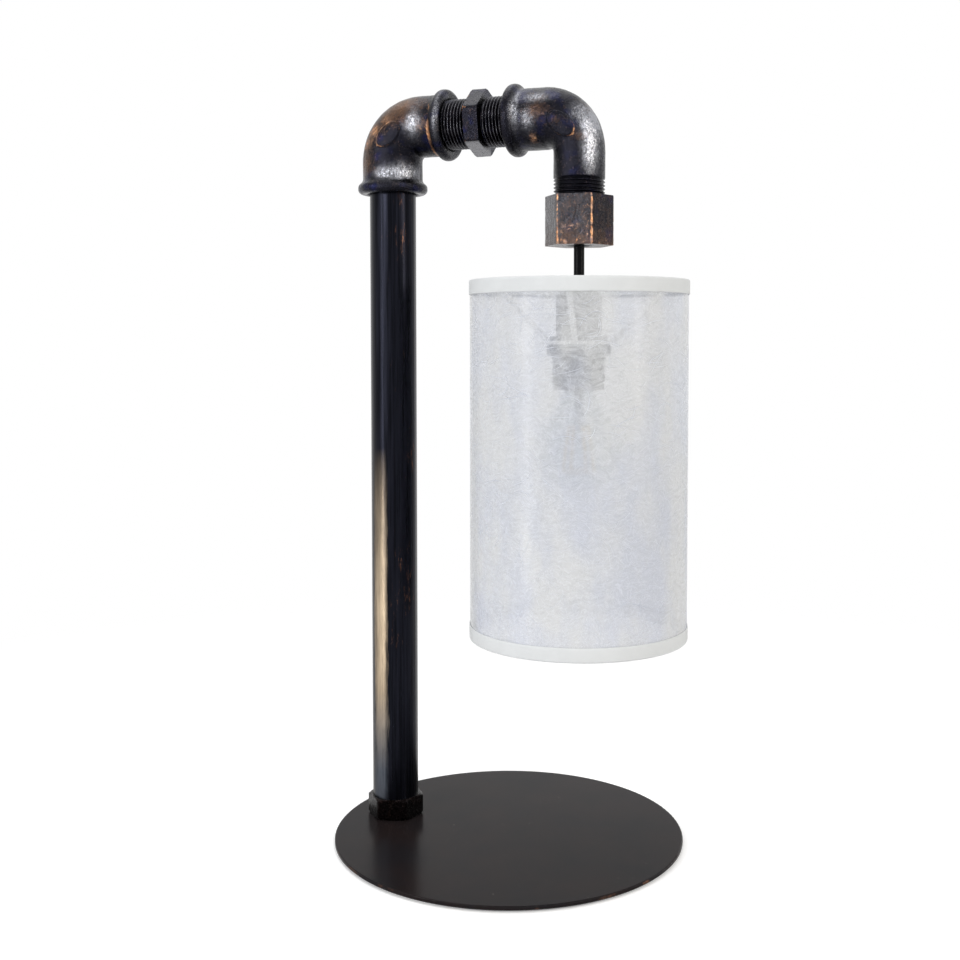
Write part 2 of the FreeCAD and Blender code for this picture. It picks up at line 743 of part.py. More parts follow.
def holder_insert():
    """Insulating block: terminals above, a cup for the screw sleeve below."""
    top = block_top
    bore = sleeve_radius
    rim = skirt_inner_radius - thread_clearance
    outline = [(0, top), (insert_block_radius, top), (insert_block_radius, insert_z), (rim, insert_z),
               (rim, insert_z - insert_rim), (insert_barrel_radius, insert_z - insert_rim),
               (insert_barrel_radius, insert_z - insert_barrel), (bore, insert_z - insert_barrel),
               (bore, sleeve_top), (bore - insert_ledge, contact_z + strip_thickness),
               (0, contact_z + strip_thickness)]
    block = lathe(outline, V(hang_x, 0, 0))
    for side in (-1, 1):
        x = hang_x + side * core_place
        block = block.cut(cylinder(core_radius + thread_clearance, terminal_depth, V(x, 0, terminal_floor)))
        block = block.cut(cylinder(terminal_screw_radius + thread_clearance, insert_block_radius,
                                   V(x, -insert_block_radius, top - terminal_screw_drop), ACROSS))
    # Slots for the two contact strips
    half = strip_width / 2 + thread_clearance
    slot = strip_thickness + strip_slot
    for place, low in ((core_place, contact_z - strip_slot), (-side_strip, sleeve_top)):
        corner = (hang_x + place - slot / 2, -half, low)
        block = block.cut(box((slot, half * 2, terminal_floor - low), corner))
    return block


def centre_contact():
    """Brass tongue that presses on the bulb's tip."""
    x = hang_x + core_place
    upright = box((strip_thickness, strip_width, terminal_floor - contact_z),
                  (x - strip_thickness / 2, -strip_width / 2, contact_z))
    tongue = box((core_place + contact_overlap, strip_width, strip_thickness),
                 (hang_x - contact_overlap, -strip_width / 2, contact_z))
    return upright.fuse(tongue).removeSplitter()


def side_contact():
    """Brass strip down to the edge of the screw sleeve."""
    return box((strip_thickness, strip_width, terminal_floor - sleeve_top),
               (hang_x - side_strip - strip_thickness / 2, -strip_width / 2, sleeve_top))


def screw_sleeve():
    """Thin brass sleeve that the bulb screws into."""
    low = sleeve_top - sleeve_length
    return ring(sleeve_radius, sleeve_inner_radius, sleeve_length, V(hang_x, 0, low))


def terminal_screws():
    screws = []
    for side in (-1, 1):
        length = insert_block_radius - core_radius - terminal_seat
        start = V(hang_x + side * core_place, -core_radius - length, block_top - terminal_screw_drop)
        screw = cylinder(terminal_screw_radius, length, start, ACROSS)
        screws.append(screw.cut(screw_slot(terminal_screw_radius, start)))
    return screws


def screw_slot(head_radius, start):
    """The straight slot in a screw's head that faces -Y."""
    return box((head_radius * 2, screw_slot_depth, screw_slot_width),
               (start.x - head_radius, start.y, start.z - screw_slot_width / 2))


def core(side):
    """One insulated core, from the end of the sheath to its terminal."""
    start = holder_top - sheath_end
    x = hang_x + side * (core_radius + core_gap / 2)
    far = hang_x + side * core_place
    points = [V(x, 0, start), V(x, 0, start - core_straight), V(far, 0, start - core_straight - core_spread),
              V(far, 0, terminal_floor)]
    return run_along(path(points, [core_bend, core_bend]), core_radius)


def lead_end():
    """The sheath's last stretch, in the gland and the lampholder's cover."""
    low = holder_top - sheath_end
    return cylinder(cord_radius, lead_end_top - low, V(hang_x, 0, low))


def shade_ring():
    """Ring nut that holds the shade's fitter against the lip."""
    high = hub_z
    low = high - ring_height
    inner = skirt_radius + thread_clearance
    nut = lathe([(inner, low), (ring_radius - ring_edge, low), (ring_radius, low + ring_edge),
                 (ring_radius, high), (inner, high)], V(hang_x, 0, 0))
    groove = cylinder(ring_groove_radius, ring_height, V(hang_x + ring_radius + ring_groove_place, 0, low))
    for i in range(ring_groove_count):
        nut = nut.cut(turned(groove, 360 * i / ring_groove_count, V(hang_x, 0, 0)))
    return nut


def spider_arm_line(i):
    angle = math.radians(spider_turn + 360 * i / spider_arm_count)
    heading = V(math.cos(angle), math.sin(angle), 0)
    low = V(hang_x, 0, hub_z + spider_hub_thickness / 2) + heading * (spider_hub_radius - spider_weld)
    high = V(hang_x, 0, top_wire_z) + heading * edge_wire_circle
    return low, high


def shade_spider():
    """Welded fitter: a hub washer, three wire arms and the wire ring in the shade's upper edge."""
    hole = skirt_radius + part_gap
    solid = ring(spider_hub_radius, hole, spider_hub_thickness, V(hang_x, 0, hub_z))
    top_ring = Part.makeTorus(edge_wire_circle, wire_radius, V(hang_x, 0, top_wire_z))
    solid = solid.fuse(top_ring)
    for i in range(spider_arm_count):
        low, high = spider_arm_line(i)
        line = high - low
        solid = solid.fuse(cylinder(spider_arm_radius, line.Length, low, line))
    keep = cylinder(edge_wire_circle + wire_radius, shade_height, V(hang_x, 0, shade_top - shade_height))
    return solid.common(keep).removeSplitter()


def bottom_wire_ring():
    return Part.makeTorus(edge_wire_circle, wire_radius, V(hang_x, 0, bottom_wire_z))


def shade_skin():
    height = shade_height - trim_thickness * 2
    return ring(skin_radius, skin_inner_radius, height, V(hang_x, 0, shade_bottom + trim_thickness))


def trim(edge, inward):
    """Tape folded over the edge: a wide band outside, the fold, and a narrower band inside."""
    inner_face = edge_wire_circle - wire_radius
    outline = [(shade_radius, edge - inward * trim_width), (shade_radius, edge - inward * trim_corner),
               (shade_radius - trim_corner, edge), (inner_face - trim_thickness + trim_corner, edge),
               (inner_face - trim_thickness, edge - inward * trim_corner),
               (inner_face - trim_thickness, edge - inward * trim_inner_width),
               (inner_face, edge - inward * trim_inner_width), (inner_face, edge - inward * trim_thickness),
               (skin_radius, edge - inward * trim_thickness), (skin_radius, edge - inward * trim_width)]
    return lathe(outline, V(hang_x, 0, 0))


def top_trim():
    tape = trim(shade_top, 1)
    for i in range(spider_arm_count):
        low, high = spider_arm_line(i)
        line = high - low
        tape = tape.cut(cylinder(spider_arm_radius + spider_slot, line.Length - wire_radius, low, line))
    return tape


def bulb_contact():
    r = bulb_contact_radius
    low = bulb_tip - bulb_contact_height
    outline = [(0, low), (r, low), (r, low + bulb_contact_side), (bulb_contact_tip_radius, bulb_tip),
               (0, bulb_tip)]
    return lathe(outline, V(hang_x, 0, 0))


def bulb_insulator():
    low = bulb_shell_top
    high = low + bulb_insulator_height
    outline = [(0, low), (bulb_shell_radius - bulb_insulator_inset, low),
               (bulb_contact_radius + bulb_insulator_top, high), (0, high)]
    return lathe(outline, V(hang_x, 0, 0))


def bulb_shell():
    """Rolled metal screw cap."""
    low = bulb_shell_bottom
    top = bulb_shell_top
    inner = bulb_shell_radius - bulb_thread_depth - bulb_shell_wall
    rim = bulb_shell_radius + bulb_rim
    start = low + bulb_rim_height
    outline = [(inner, low), (rim, low), (rim, start)]
    outline += thread_outline(start, top - start, bulb_shell_radius, bulb_thread_pitch, bulb_thread_depth)
    outline += [(inner, top)]
    return lathe(outline, V(hang_x, 0, 0))


def on_globe(radius, degrees):
    """A point of the globe's outline, by its angle above the globe's middle."""
    angle = math.radians(degrees)
    return (radius * math.cos(angle), bulb_middle + radius * math.sin(angle))


def bulb_glass():
    outer = bulb_glass_radius
    inner = outer - bulb_glass_wall
    start = bulb_shell_bottom
    throat = start - bulb_neck_straight
    neck = bulb_neck_radius
    neck_inside = neck - bulb_glass_wall
    outer_join = on_globe(outer, bulb_join_angle)
    inner_join = on_globe(inner, bulb_join_angle)
    outer_waist = ((neck + outer_join[0]) / 2 - bulb_waist, (throat + outer_join[1]) / 2 - bulb_waist)
    inner_waist = ((neck_inside + inner_join[0]) / 2 - bulb_waist, (throat + inner_join[1]) / 2 - bulb_waist)
    outline = [(neck_inside, start), (neck, start), (neck, throat),
               ("arc", outer_waist, outer_join),
               ("arc", on_globe(outer, 0), on_globe(outer, -45)),
               ("arc", on_globe(outer, -67.5), (0, bulb_middle - outer)),
               (0, bulb_middle - inner),
               ("arc", on_globe(inner, -67.5), on_globe(inner, -45)),
               ("arc", on_globe(inner, 0), inner_join),
               ("arc", inner_waist, (neck_inside, throat))]
    return lathe(outline, V(hang_x, 0, 0))


def bulb_stem():
    """Glass stem that carries the filaments, closed to the neck by its foot."""
    inner = bulb_neck_radius - bulb_glass_wall
    start = bulb_shell_bottom
    tip = filament_top - stem_below_filaments
    outline = [(0, start), (inner, start), (inner, start - stem_foot_height),
               (stem_cone_radius, start - stem_cone_height), (stem_radius, start - stem_taper_end),
               (stem_radius, tip), (0, tip)]
    return lathe(outline, V(hang_x, 0, 0))


def bulb_filaments():
    """Light-giving rods, leaning a little outwards, on wires from the stem and a wire ring below."""
    bottom = filament_top - filament_length
    frame = Part.makeTorus(filament_circle, filament_wire, V(hang_x, 0, bottom))
    for i in range(filament_count):
        high = V(hang_x + filament_top_circle, 0, filament_top)
        line = V(hang_x + filament_circle, 0, bottom) - high
        rod = cylinder(filament_radius, line.Length, high, line)
        wire = cylinder(filament_wire, filament_top_circle - stem_radius,
                        V(hang_x + stem_radius, 0, filament_top - filament_wire_drop), ALONG)
        frame = frame.fuse(turned(rod.fuse(wire), 360 * (i + 0.5) / filament_count, V(hang_x, 0, 0)))
    return frame


def main():
    os.makedirs("parts", exist_ok=True)
    save("base_plate", base_plate())
    save("base_felt", base_felt())
    save("foot_screws", *foot_screws())
    save("foot_insert", foot_insert())
    save("foot_nut", foot_nut())
    save("stem_tube", stem_tube())
    save("cable_grommet", cable_grommet())
    save("stem_adaptor", stem_adaptor())
    save("lower_elbow", lower_elbow())
    save("hex_nipple", hex_nipple())
    save("street_elbow", street_elbow())
    save("hex_cap", hex_cap())
    save("cap_bush", cap_bush())
    save("cord_clamp", *cord_clamp())
    save("clamp_screws", *clamp_screws())
    save("lead_inside", lead_inside())
    save("cord_upper", cord_stretch(first_bend, second_bend + cord_radius + part_gap))
    save("cord_lower", cord_stretch(second_bend, lead_end_top + part_gap))
    save("cord_grip", cord_grip())
    save("grip_screw", grip_screw())
    save("lead_end", lead_end())
    save("live_core", core(1))
    save("neutral_core", core(-1))
    save("holder_cover", holder_cover())
    save("holder_insert", holder_insert())
    save("terminal_screws", *terminal_screws())
    save("centre_contact", centre_contact())
    save("side_contact", side_contact())
    save("screw_sleeve", screw_sleeve())
    save("holder_skirt", holder_skirt())
    save("shade_ring", shade_ring())
    save("shade_spider", shade_spider())
    save("bottom_wire_ring", bottom_wire_ring())
    save("shade_skin", shade_skin())
    save("top_trim", top_trim())
    save("bottom_trim", trim(shade_bottom, -1))
    save("bulb_contact", bulb_contact())
    save("bulb_insulator", bulb_insulator())
    save("bulb_shell", bulb_shell())
    save("bulb_glass", bulb_glass())
    save("bulb_stem", bulb_stem())
    save("bulb_filaments", bulb_filaments())


main()
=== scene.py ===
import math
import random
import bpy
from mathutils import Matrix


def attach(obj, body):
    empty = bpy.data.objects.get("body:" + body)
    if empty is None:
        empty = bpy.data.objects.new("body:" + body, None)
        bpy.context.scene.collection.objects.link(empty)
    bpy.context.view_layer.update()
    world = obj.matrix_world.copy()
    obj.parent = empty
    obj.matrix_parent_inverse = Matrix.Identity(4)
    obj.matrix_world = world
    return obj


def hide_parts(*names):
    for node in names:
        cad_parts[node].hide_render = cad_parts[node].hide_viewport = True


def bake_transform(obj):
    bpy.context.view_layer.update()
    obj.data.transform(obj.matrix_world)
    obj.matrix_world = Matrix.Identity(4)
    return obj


bl_info = {
    "name": "Pipe table lamp",
    "version": (1, 0, 0),
    "blender": (4, 5, 0),
    "location": "View3D > Sidebar > Pipe lamp",
    "description": "Dresses the pipe table lamp: fittings, tube, base, cord, shade and studio",
    "category": "Object",
}

import bmesh
import bpy
import numpy as np
from mathutils import Vector, noise

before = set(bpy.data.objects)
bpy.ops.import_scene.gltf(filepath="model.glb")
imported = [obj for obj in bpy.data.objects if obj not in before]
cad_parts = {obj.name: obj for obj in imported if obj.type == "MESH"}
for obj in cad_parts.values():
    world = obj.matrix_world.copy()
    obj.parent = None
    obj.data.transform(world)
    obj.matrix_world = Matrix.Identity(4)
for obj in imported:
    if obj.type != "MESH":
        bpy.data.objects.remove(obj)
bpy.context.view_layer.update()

MM = 0.001
DOWN = Vector((0, 0, -1))
ALONG = Vector((1, 0, 0))
ACROSS = Vector((0, 1, 0))

# Sizes shared with the solids, in millimetres
TUBE_X = -68.0
HANG_X = 39.0
ARM_Z = 381.2
PLATE_TOP = 3.2
BASE_RADIUS = 93.0
ELBOW_REACH = 35.5
STREET_REACH = 37.5
ELBOW_BODY = 16.2
STREET_BODY = 15.9
STREET_LEG = 13.3
ELBOW_BEND = 18.0
BEAD_RADIUS = 18.8
BEAD_FLAT = 0.8
BEAD_ROUND = 2.6
BEAD_FILLET = 3.2
THREAD_RADIUS = 13.22
THREAD_PITCH = 1.814
THREAD_DEPTH = 1.1
MATING_RADIUS = 13.27
THREAD_LENGTH = 16.0
MALE_START = 31.5
MALE_END = 47.5
PAD_LENGTH = 16.0
PAD_HEIGHT = 10.0
PAD_RISE = 0.7
PAD_TILT = 40.0
NIPPLE_X = -15.5
NIPPLE_HEX = 31.0
NIPPLE_HEX_WIDTH = 8.2
NIPPLE_TURN = 10.0
NIPPLE_END = 23.6
NIPPLE_BORE = 9.5
CAP_FLATS = 31.4
CAP_TOP = 340.6
CAP_FACE = 315.2
CAP_FLOOR = 318.2
CAP_TURN = 9.4
CAP_HOLE = 6.55
FOOT_FLATS = 27.0
FOOT_HEIGHT = 11.5
FOOT_TURN = 17.0
FOOT_CHAMFER = 2.0
TUBE_INNER = 10.5
SHADE_RADIUS = 56.8
SHADE_TOP = 297.5
SHADE_BOTTOM = 112.0
SKIN_RADIUS = 56.4
SKIN_THICKNESS = 0.8
TAPE_WIDTH = 7.4
TAPE_INSIDE = 6.0
TAPE_THICKNESS = 0.4
WIRE_RADIUS = 1.3
FELT_HOLE = 13.0
LOWER_PASSAGE = 10.5
STREET_PASSAGE = 9.5
CORD_JOINT = 312.0

WEAR_AND_HIGHLIGHT = ("rub", "brown", "pale")  # how far a place is rubbed to metal and browned, then its painted highlight: pale metal laid where light catches it

# The camera, in degrees and metres
CAMERA_TURN = 21.8
CAMERA_DIP = 2.98
CAMERA_DISTANCE = 0.670
CAMERA_HEIGHT = 0.2682


def linear(hex_colour):
    """The linear colour, with alpha 1, of an sRGB hex value such as "8a5a38"."""
    channels = [int(hex_colour[i:i + 2], 16) / 255 for i in (0, 2, 4)]
    return (*(c / 12.92 if c <= 0.04045 else ((c + 0.055) / 1.055) ** 2.4 for c in channels), 1.0)


# ---------------------------------------------------------------- properties

def millimetres(name, description, default, low, high):
    """A length property; its sizes are given in millimetres."""
    return bpy.props.FloatProperty(name=name, description=description, default=default * MM, min=low * MM,
                                   max=high * MM, subtype="DISTANCE", unit="LENGTH", precision=5)


def tint(name, description, hex_colour):
    """A colour property."""
    return bpy.props.FloatVectorProperty(name=name, description=description, subtype="COLOR", size=4, min=0, max=1,
                                         default=linear(hex_colour))


class PipeLampSizes(bpy.types.PropertyGroup):
    """Sizes of the dressed pieces"""

    cord_diameter: millimetres("Cord diameter", "Outside diameter of the cord's sheath", 5.5, 3, 8)
    cast_bump: millimetres("Cast bumps", "Height of the sand-cast skin on the elbows", 0.16, 0, 0.4)
    fibre_count: bpy.props.IntProperty(
        name="Fibres", description="Number of curled fibres laid on the shade", default=700, min=0, max=4000)
    fibre_width: millimetres("Fibre width", "Width of one laid fibre", 0.22, 0.05, 1)
    tape_width: millimetres("Tape width", "Width of the tape outside the shade's edges", TAPE_WIDTH, 4, TAPE_WIDTH)


class PipeLampColours(bpy.types.PropertyGroup):
    """Colours of the finishes"""

    patina: tint("Patina", "Blue-black patina on the fittings", "1a1a20")
    copper: tint("Rubbed copper", "Copper tone where the patina is rubbed through", "b4774c")
    lacquer: tint("Tube lacquer", "Blue-black lacquer on the tube", "111217")
    plate: tint("Base plate", "Satin brown-black of the base", "211b1b")
    fibre: tint("Fibre", "White of the shade's fibres", "eceef2")
    film: tint("Film", "Cool tone of the film behind the fibres", "dcdfe7")
    tape: tint("Tape", "White tape on the shade's edges", "e5e7e8")


# ---------------------------------------------------------------- materials

def add(tree, kind, inputs=(), out=0, **settings):
    """Adds one shader node with its settings, fills or links its inputs, and gives back one of its outputs."""
    item = tree.nodes.new("ShaderNode" + kind)
    for name, value in settings.items():
        setattr(item, name, value)
    for name, value in inputs.items() if isinstance(inputs, dict) else enumerate(inputs):
        if isinstance(value, bpy.types.NodeSocket):
            tree.links.new(value, item.inputs[name])
        else:
            item.inputs[name].default_value = value
    return item.outputs[out] if item.outputs else None


def new_material(name):
    """An empty node material and its tree, with the surface's place in millimetres."""
    material = bpy.data.materials.new(name)
    material.use_nodes = True
    tree = material.node_tree
    tree.nodes.clear()
    place = add(tree, "TexCoord", out="Object")
    place_mm = add(tree, "VectorMath", {0: place, "Scale": 1000.0}, operation="SCALE")
    return material, tree, place_mm


def finish_material(material, shader):
    tree = material.node_tree
    add(tree, "OutputMaterial", {"Surface": shader})
    return material


def grain(tree, place_mm, size_mm, detail=3.0, rough=0.55, stretch=(1, 1, 1), seed=0.0, warp=0.0):
    """Noise whose lumps are about size_mm across."""
    scaled = add(tree, "VectorMath", {0: place_mm, 1: tuple(s / size_mm for s in stretch)}, operation="MULTIPLY")
    moved = add(tree, "VectorMath", {0: scaled, 1: (seed, seed * 1.7, seed * 0.6)}, operation="ADD")
    return add(tree, "TexNoise", {"Vector": moved, "Scale": 1.0, "Detail": detail, "Roughness": rough,
                                  "Distortion": warp})


def weighted(tree, *parts):
    """The sum of several values, each given with its share."""
    total = None
    for value, share in parts:
        part = value if share == 1 else add(tree, "Math", (value, share), operation="MULTIPLY")
        total = part if total is None else add(tree, "Math", (total, part), operation="ADD")
    return total


def within(tree, *spans):
    """The product of several values, each first brought from its own range to 0 to 1."""
    total = None
    for span in spans:
        part = add(tree, "MapRange", span)
        total = part if total is None else add(tree, "Math", (total, part), operation="MULTIPLY")
    return total


def coats(tree, colour, *layers):
    """Lays colours over a first one, each with the value that it follows and the range it starts and fills in."""
    for over, value, *span in layers:
        share = add(tree, "MapRange", (value, *span)) if span else value
        over = linear(over) if isinstance(over, str) else over
        colour = add(tree, "Mix", {0: share, 6: colour, 7: over}, 2, data_type="RGBA")
    return colour


def surface(tree, colour, values, height=None, strength=0.2, depth=0.00003, through=0.0):
    """A Principled shader over a fine relief, with a share of the light let through."""
    relief = {}
    if height is not None:
        relief["Normal"] = add(tree, "Bump", {"Strength": strength, "Distance": depth, "Height": height})
    shader = add(tree, "BsdfPrincipled", {"Base Color": colour, **values, **relief})
    if through:
        passing = add(tree, "BsdfTranslucent", {"Color": colour, **relief})
        shader = add(tree, "MixShader", {0: through, 1: shader, 2: passing})
    return shader


def patinated_iron(colours, name="Patinated cast iron, oil-blacked and rubbed", gain=1.0, grey=0.0, dark_hex="",
                   deep_hex="15172e", highlight_hex="86868a", least=0.45, drag=0.12):
    """Sand-cast iron with a navy-black patina: glossy, browned in hollows, rubbed to copper on what stands proud,
    with painted highlights laid in as pale metal.
    """
    material, tree, place = new_material(name)
    rub, brown, pale = (add(tree, "Attribute", out="Fac", attribute_name=key) for key in WEAR_AND_HIGHLIGHT)
    fine = grain(tree, place, 0.9, 9.0, 0.8)
    patch = grain(tree, place, 4.0, 5.0, 0.65, seed=4.0)
    scratch = grain(tree, place, 0.6, 4.0, 0.7, stretch=(0.3, 1, 0.18), seed=9.0)
    navy = grain(tree, place, 9.0, 3.0, 0.5, seed=21.0)
    silver = grain(tree, place, 2.4, 5.0, 0.7, seed=15.0)
    streaks = grain(tree, place, 1.2, 5.0, 0.7, stretch=(1, 1, drag), seed=27.0)
    texture = weighted(tree, (fine, 0.55), (patch, 0.25), (scratch, 0.2))
    level = weighted(tree, (texture, 1), (rub, 0.30 * gain))
    haze = weighted(tree, (texture, 1), (brown, 0.3))
    # Painted highlight: pale metal laid where the mesh's pale value is high, broken into streaks
    bright = add(tree, "Math", (pale, add(tree, "MapRange", (streaks, 0.38, 0.60, least, 1.0))), operation="MULTIPLY")
    skin = coats(tree, linear(dark_hex) if dark_hex else colours.patina, (deep_hex, navy, 0.53, 0.66),
                 ("54545a", fine, 0.55, 0.70, 0, 0.55), (highlight_hex, bright), ("5c4638", haze, 0.54, 0.80))
    metal = coats(tree, colours.copper, ("dba77c", scratch, 0.40, 0.60), ("876a5a", patch, 0.46, 0.58),
                  ("6f6f75", silver, 0.48, 0.58, 0, grey))
    values = {"Metallic": 1.0, "Roughness": add(tree, "MapRange", (level, 0.4, 0.8, 0.19, 0.42))}
    height = weighted(tree, (patch, 2.0), (fine, 1))
    shader = surface(tree, coats(tree, skin, (metal, level, 0.645, 0.735)), values, height, 0.7, 0.0003)
    return finish_material(material, shader)


def tube_lacquer(colours):
    """Drawn steel tube, blued black: mirror-like along its length, one long painted highlight laid as a pale streak,
    thin copper marks.
    """
    material, tree, place = new_material("Drawn steel tube, blued black and hand rubbed")
    streak = grain(tree, place, 1.4, 4.0, 0.6, stretch=(1, 1, 0.03))
    fleck = grain(tree, place, 1.6, 7.0, 0.78, stretch=(1, 1, 0.2), seed=3.0)
    patch = grain(tree, place, 22.0, 3.0, 0.5, stretch=(1, 1, 0.5), seed=7.0)
    drag = grain(tree, place, 2.0, 6.0, 0.72, stretch=(1, 1, 0.09), seed=13.0)
    height = add(tree, "SeparateXYZ", {0: place}, "Z")
    # Painted highlight: a pale streak down the front's left side, from 208 mm to the foot, with ragged edges, where a
    # lamp's reflection falls
    from_axis = add(tree, "VectorMath", {0: place, 1: (TUBE_X, 0, 0)}, operation="SUBTRACT")
    side = add(tree, "VectorMath", {0: from_axis, 1: (-0.0196, -0.0775, 0)}, "Value", operation="DOT_PRODUCT")
    ragged = weighted(tree, (side, 1), (drag, 0.17))
    rubbed = within(tree, (height, 208.0, 118.0), (height, 14.0, 95.0, 0.3, 1), (ragged, 0.995, 1.085))
    scar = within(tree, (height, 82.0, 112.0), (height, 178.0, 150.0))
    level = weighted(tree, (fleck, 0.6), (patch, 0.4), (scar, 0.035))
    # The painted highlight's colour: cool grey, turning warm towards the foot
    worn = coats(tree, linear("747a84"), ("baa78e", height, 30.0, 75.0))
    colour = coats(tree, colours.lacquer, ("1f2028", streak, 0.35, 0.7), ("7a5540", level, 0.61, 0.70, 0, 0.7),
                   (worn, rubbed))
    gloss = weighted(tree, (add(tree, "MapRange", (streak, 0.3, 0.7, 0.24, 0.33)), 1), (rubbed, 0.06))
    shader = surface(tree, colour, {"Metallic": 1.0, "Roughness": gloss}, streak, 0.2, 0.00004)
    return finish_material(material, shader)


def satin_plate(colours):
    """Sheet steel with a satin brown-black coat: orange peel, rare pale specks, edge rubbed to copper in spots."""
    material, tree, place = new_material("Sheet steel, satin brown-black lacquer")
    flat = add(tree, "VectorMath", {0: place, 1: (1, 1, 0)}, operation="MULTIPLY")
    radius = add(tree, "VectorMath", {0: flat}, "Value", operation="LENGTH")
    peel = grain(tree, place, 0.8, 3.0, 0.6)
    cloud = grain(tree, place, 26.0, 4.0, 0.55, seed=5.0)
    speck = grain(tree, place, 1.3, 1.0, 0.3, seed=12.0)
    spots = grain(tree, place, 16.0, 3.0, 0.6, seed=2.0)
    ragged = weighted(tree, (radius, 1), (grain(tree, place, 2.0, 6.0, 0.75, seed=2.5), 1.6))
    edge = within(tree, (ragged, BASE_RADIUS + 0.5, BASE_RADIUS + 0.9), (spots, 0.57, 0.66))
    colour = coats(tree, colours.plate, ("1b191b", cloud, 0.35, 0.65), ("8b8580", speck, 0.80, 0.84, 0, 0.5),
                   ("70503f", edge))
    gloss = add(tree, "MapRange", (cloud, 0.3, 0.7, 0.2, 0.26))
    return finish_material(material, surface(tree, colour, {"Roughness": gloss, "IOR": 1.13}, peel, 0.25))


def moulded(name, hex_colour, roughness, grain_mm=0.4, depth=0.00003, ior=1.5, metallic=0.0):
    """A moulded, glazed or plated surface with a fine grain of its own and uneven gloss."""
    material, tree, place = new_material(name)
    fine = grain(tree, place, grain_mm, 4.0, 0.6)
    broad = grain(tree, place, 7.0, 3.0, 0.5, seed=6.0)
    base = linear(hex_colour)
    darker = (*(c * 0.75 for c in base[:3]), 1.0)
    gloss = add(tree, "MapRange", (broad, 0.3, 0.7, roughness * 0.85, roughness * 1.15))
    values = {"Metallic": metallic, "Roughness": gloss}
    if metallic < 0.5:
        values["IOR"] = ior
    shader = surface(tree, coats(tree, base, (darker, broad, 0.3, 0.7)), values, fine, 0.3, depth)
    return finish_material(material, shader)


def pressed_felt():
    """Wool felt: matt, fuzzy, flecked."""
    material, tree, place = new_material("Pressed wool felt, black")
    fuzz = grain(tree, place, 0.5, 6.0, 0.8, warp=1.5)
    colour = coats(tree, linear("0e0e0f"), ("2b2a2b", fuzz, 0.35, 0.65))
    values = {"Roughness": 0.95, "Sheen Weight": 0.3, "Sheen Roughness": 0.5}
    return finish_material(material, surface(tree, colour, values, fuzz, 0.8, 0.0002))


def fibre_film(colours):
    """Non-woven fibre on clear film: open between its fibres, so that what is inside shows as a soft shade."""
    material, tree, place = new_material("Non-woven fibre laminated on clear film")
    warp = add(tree, "TexNoise", {"Vector": place, "Scale": 1 / 12.0, "Detail": 2.0}, "Color")
    pushed = add(tree, "VectorMath", {0: warp, "Scale": 12.0}, operation="SCALE")
    bent = add(tree, "VectorMath", {0: place, 1: pushed}, operation="ADD")
    strands = None
    for size, seed, width, stretch in ((1.9, 0.0, 0.030, (0.6, 0.6, 1.5)), (3.4, 5.0, 0.018, (0.5, 0.5, 1.6)),
                                       (2.8, 11.0, 0.018, (1.2, 1.2, 0.6))):
        wave = grain(tree, bent, size, 1.0, 0.4, stretch=stretch, seed=seed)
        off = add(tree, "Math", (wave, 0.5), operation="SUBTRACT")
        near = add(tree, "Math", (off,), operation="ABSOLUTE")
        line = add(tree, "MapRange", (near, 0.0, width, 1, 0))
        strands = line if strands is None else add(tree, "Math", (strands, line), operation="MAXIMUM")
    cloud = grain(tree, bent, 3.4, 4.0, 0.6, stretch=(0.7, 0.7, 1.5), seed=2.0)
    veil = grain(tree, place, 22.0, 3.0, 0.55, stretch=(1, 1, 0.4), seed=8.0)
    mixed = weighted(tree, (cloud, 0.6), (veil, 0.4))
    height = add(tree, "SeparateXYZ", {0: place}, "Z")
    fuller = weighted(tree, (add(tree, "MapRange", (mixed, 0.42, 0.58, 0.34, 0.55)), 1),
                      (add(tree, "MapRange", (height, 240.0, 150.0, 0, 0.30)), 1))
    cover = add(tree, "Math", (fuller, weighted(tree, (strands, 0.16))), operation="ADD", use_clamp=True)
    colour = coats(tree, colours.film, ("e4e5e6", veil, 0.38, 0.60), (colours.fibre, weighted(tree, (strands, 0.4))))
    relief = weighted(tree, (strands, 1), (cloud, 1))
    body = surface(tree, colour, {"Roughness": 0.25, "IOR": 1.6}, relief, 0.2, 0.00007, through=0.4)
    clear = add(tree, "BsdfTransparent")
    return finish_material(material, add(tree, "MixShader", {0: cover, 1: clear, 2: body}))


def fibre_thread(colours):
    """Single spun fibres: white with a silky gloss."""
    material, tree, place = new_material("Spun polyester fibre, white")
    colour = coats(tree, colours.fibre, ("dfe2ea", grain(tree, place, 12.0, 2.0, 0.5), 0.35, 0.65))
    return finish_material(material, surface(tree, colour, {"Roughness": 0.3, "IOR": 1.5}, through=0.45))


def edge_tape(colours):
    """Smooth woven tape, ironed over the edge: faint ribs, lets a little light through."""
    material, tree, place = new_material("Smooth cotton tape, white")
    rib = add(tree, "TexWave", {"Vector": place, "Scale": 1 / 0.8 / 6.283, "Distortion": 0.6, "Detail": 2.0},
              bands_direction="Z")
    colour = coats(tree, colours.tape, ("e2e4e5", grain(tree, place, 9.0, 3.0, 0.5), 0.35, 0.65))
    shader = surface(tree, colour, {"Roughness": 0.6, "IOR": 1.45}, rib, 0.2, 0.00006, through=0.25)
    return finish_material(material, shader)


def cord_sheath():
    """Black PVC sheath: glossy, with a faint drag along its length."""
    material, tree, place = new_material("Extruded PVC cord sheath, gloss black")
    drag = grain(tree, place, 0.8, 3.0, 0.5, stretch=(1, 1, 0.1))
    colour = coats(tree, linear("020203"), ("08080a", drag))
    return finish_material(material, surface(tree, colour, {"Roughness": 0.22, "IOR": 1.17}, drag))


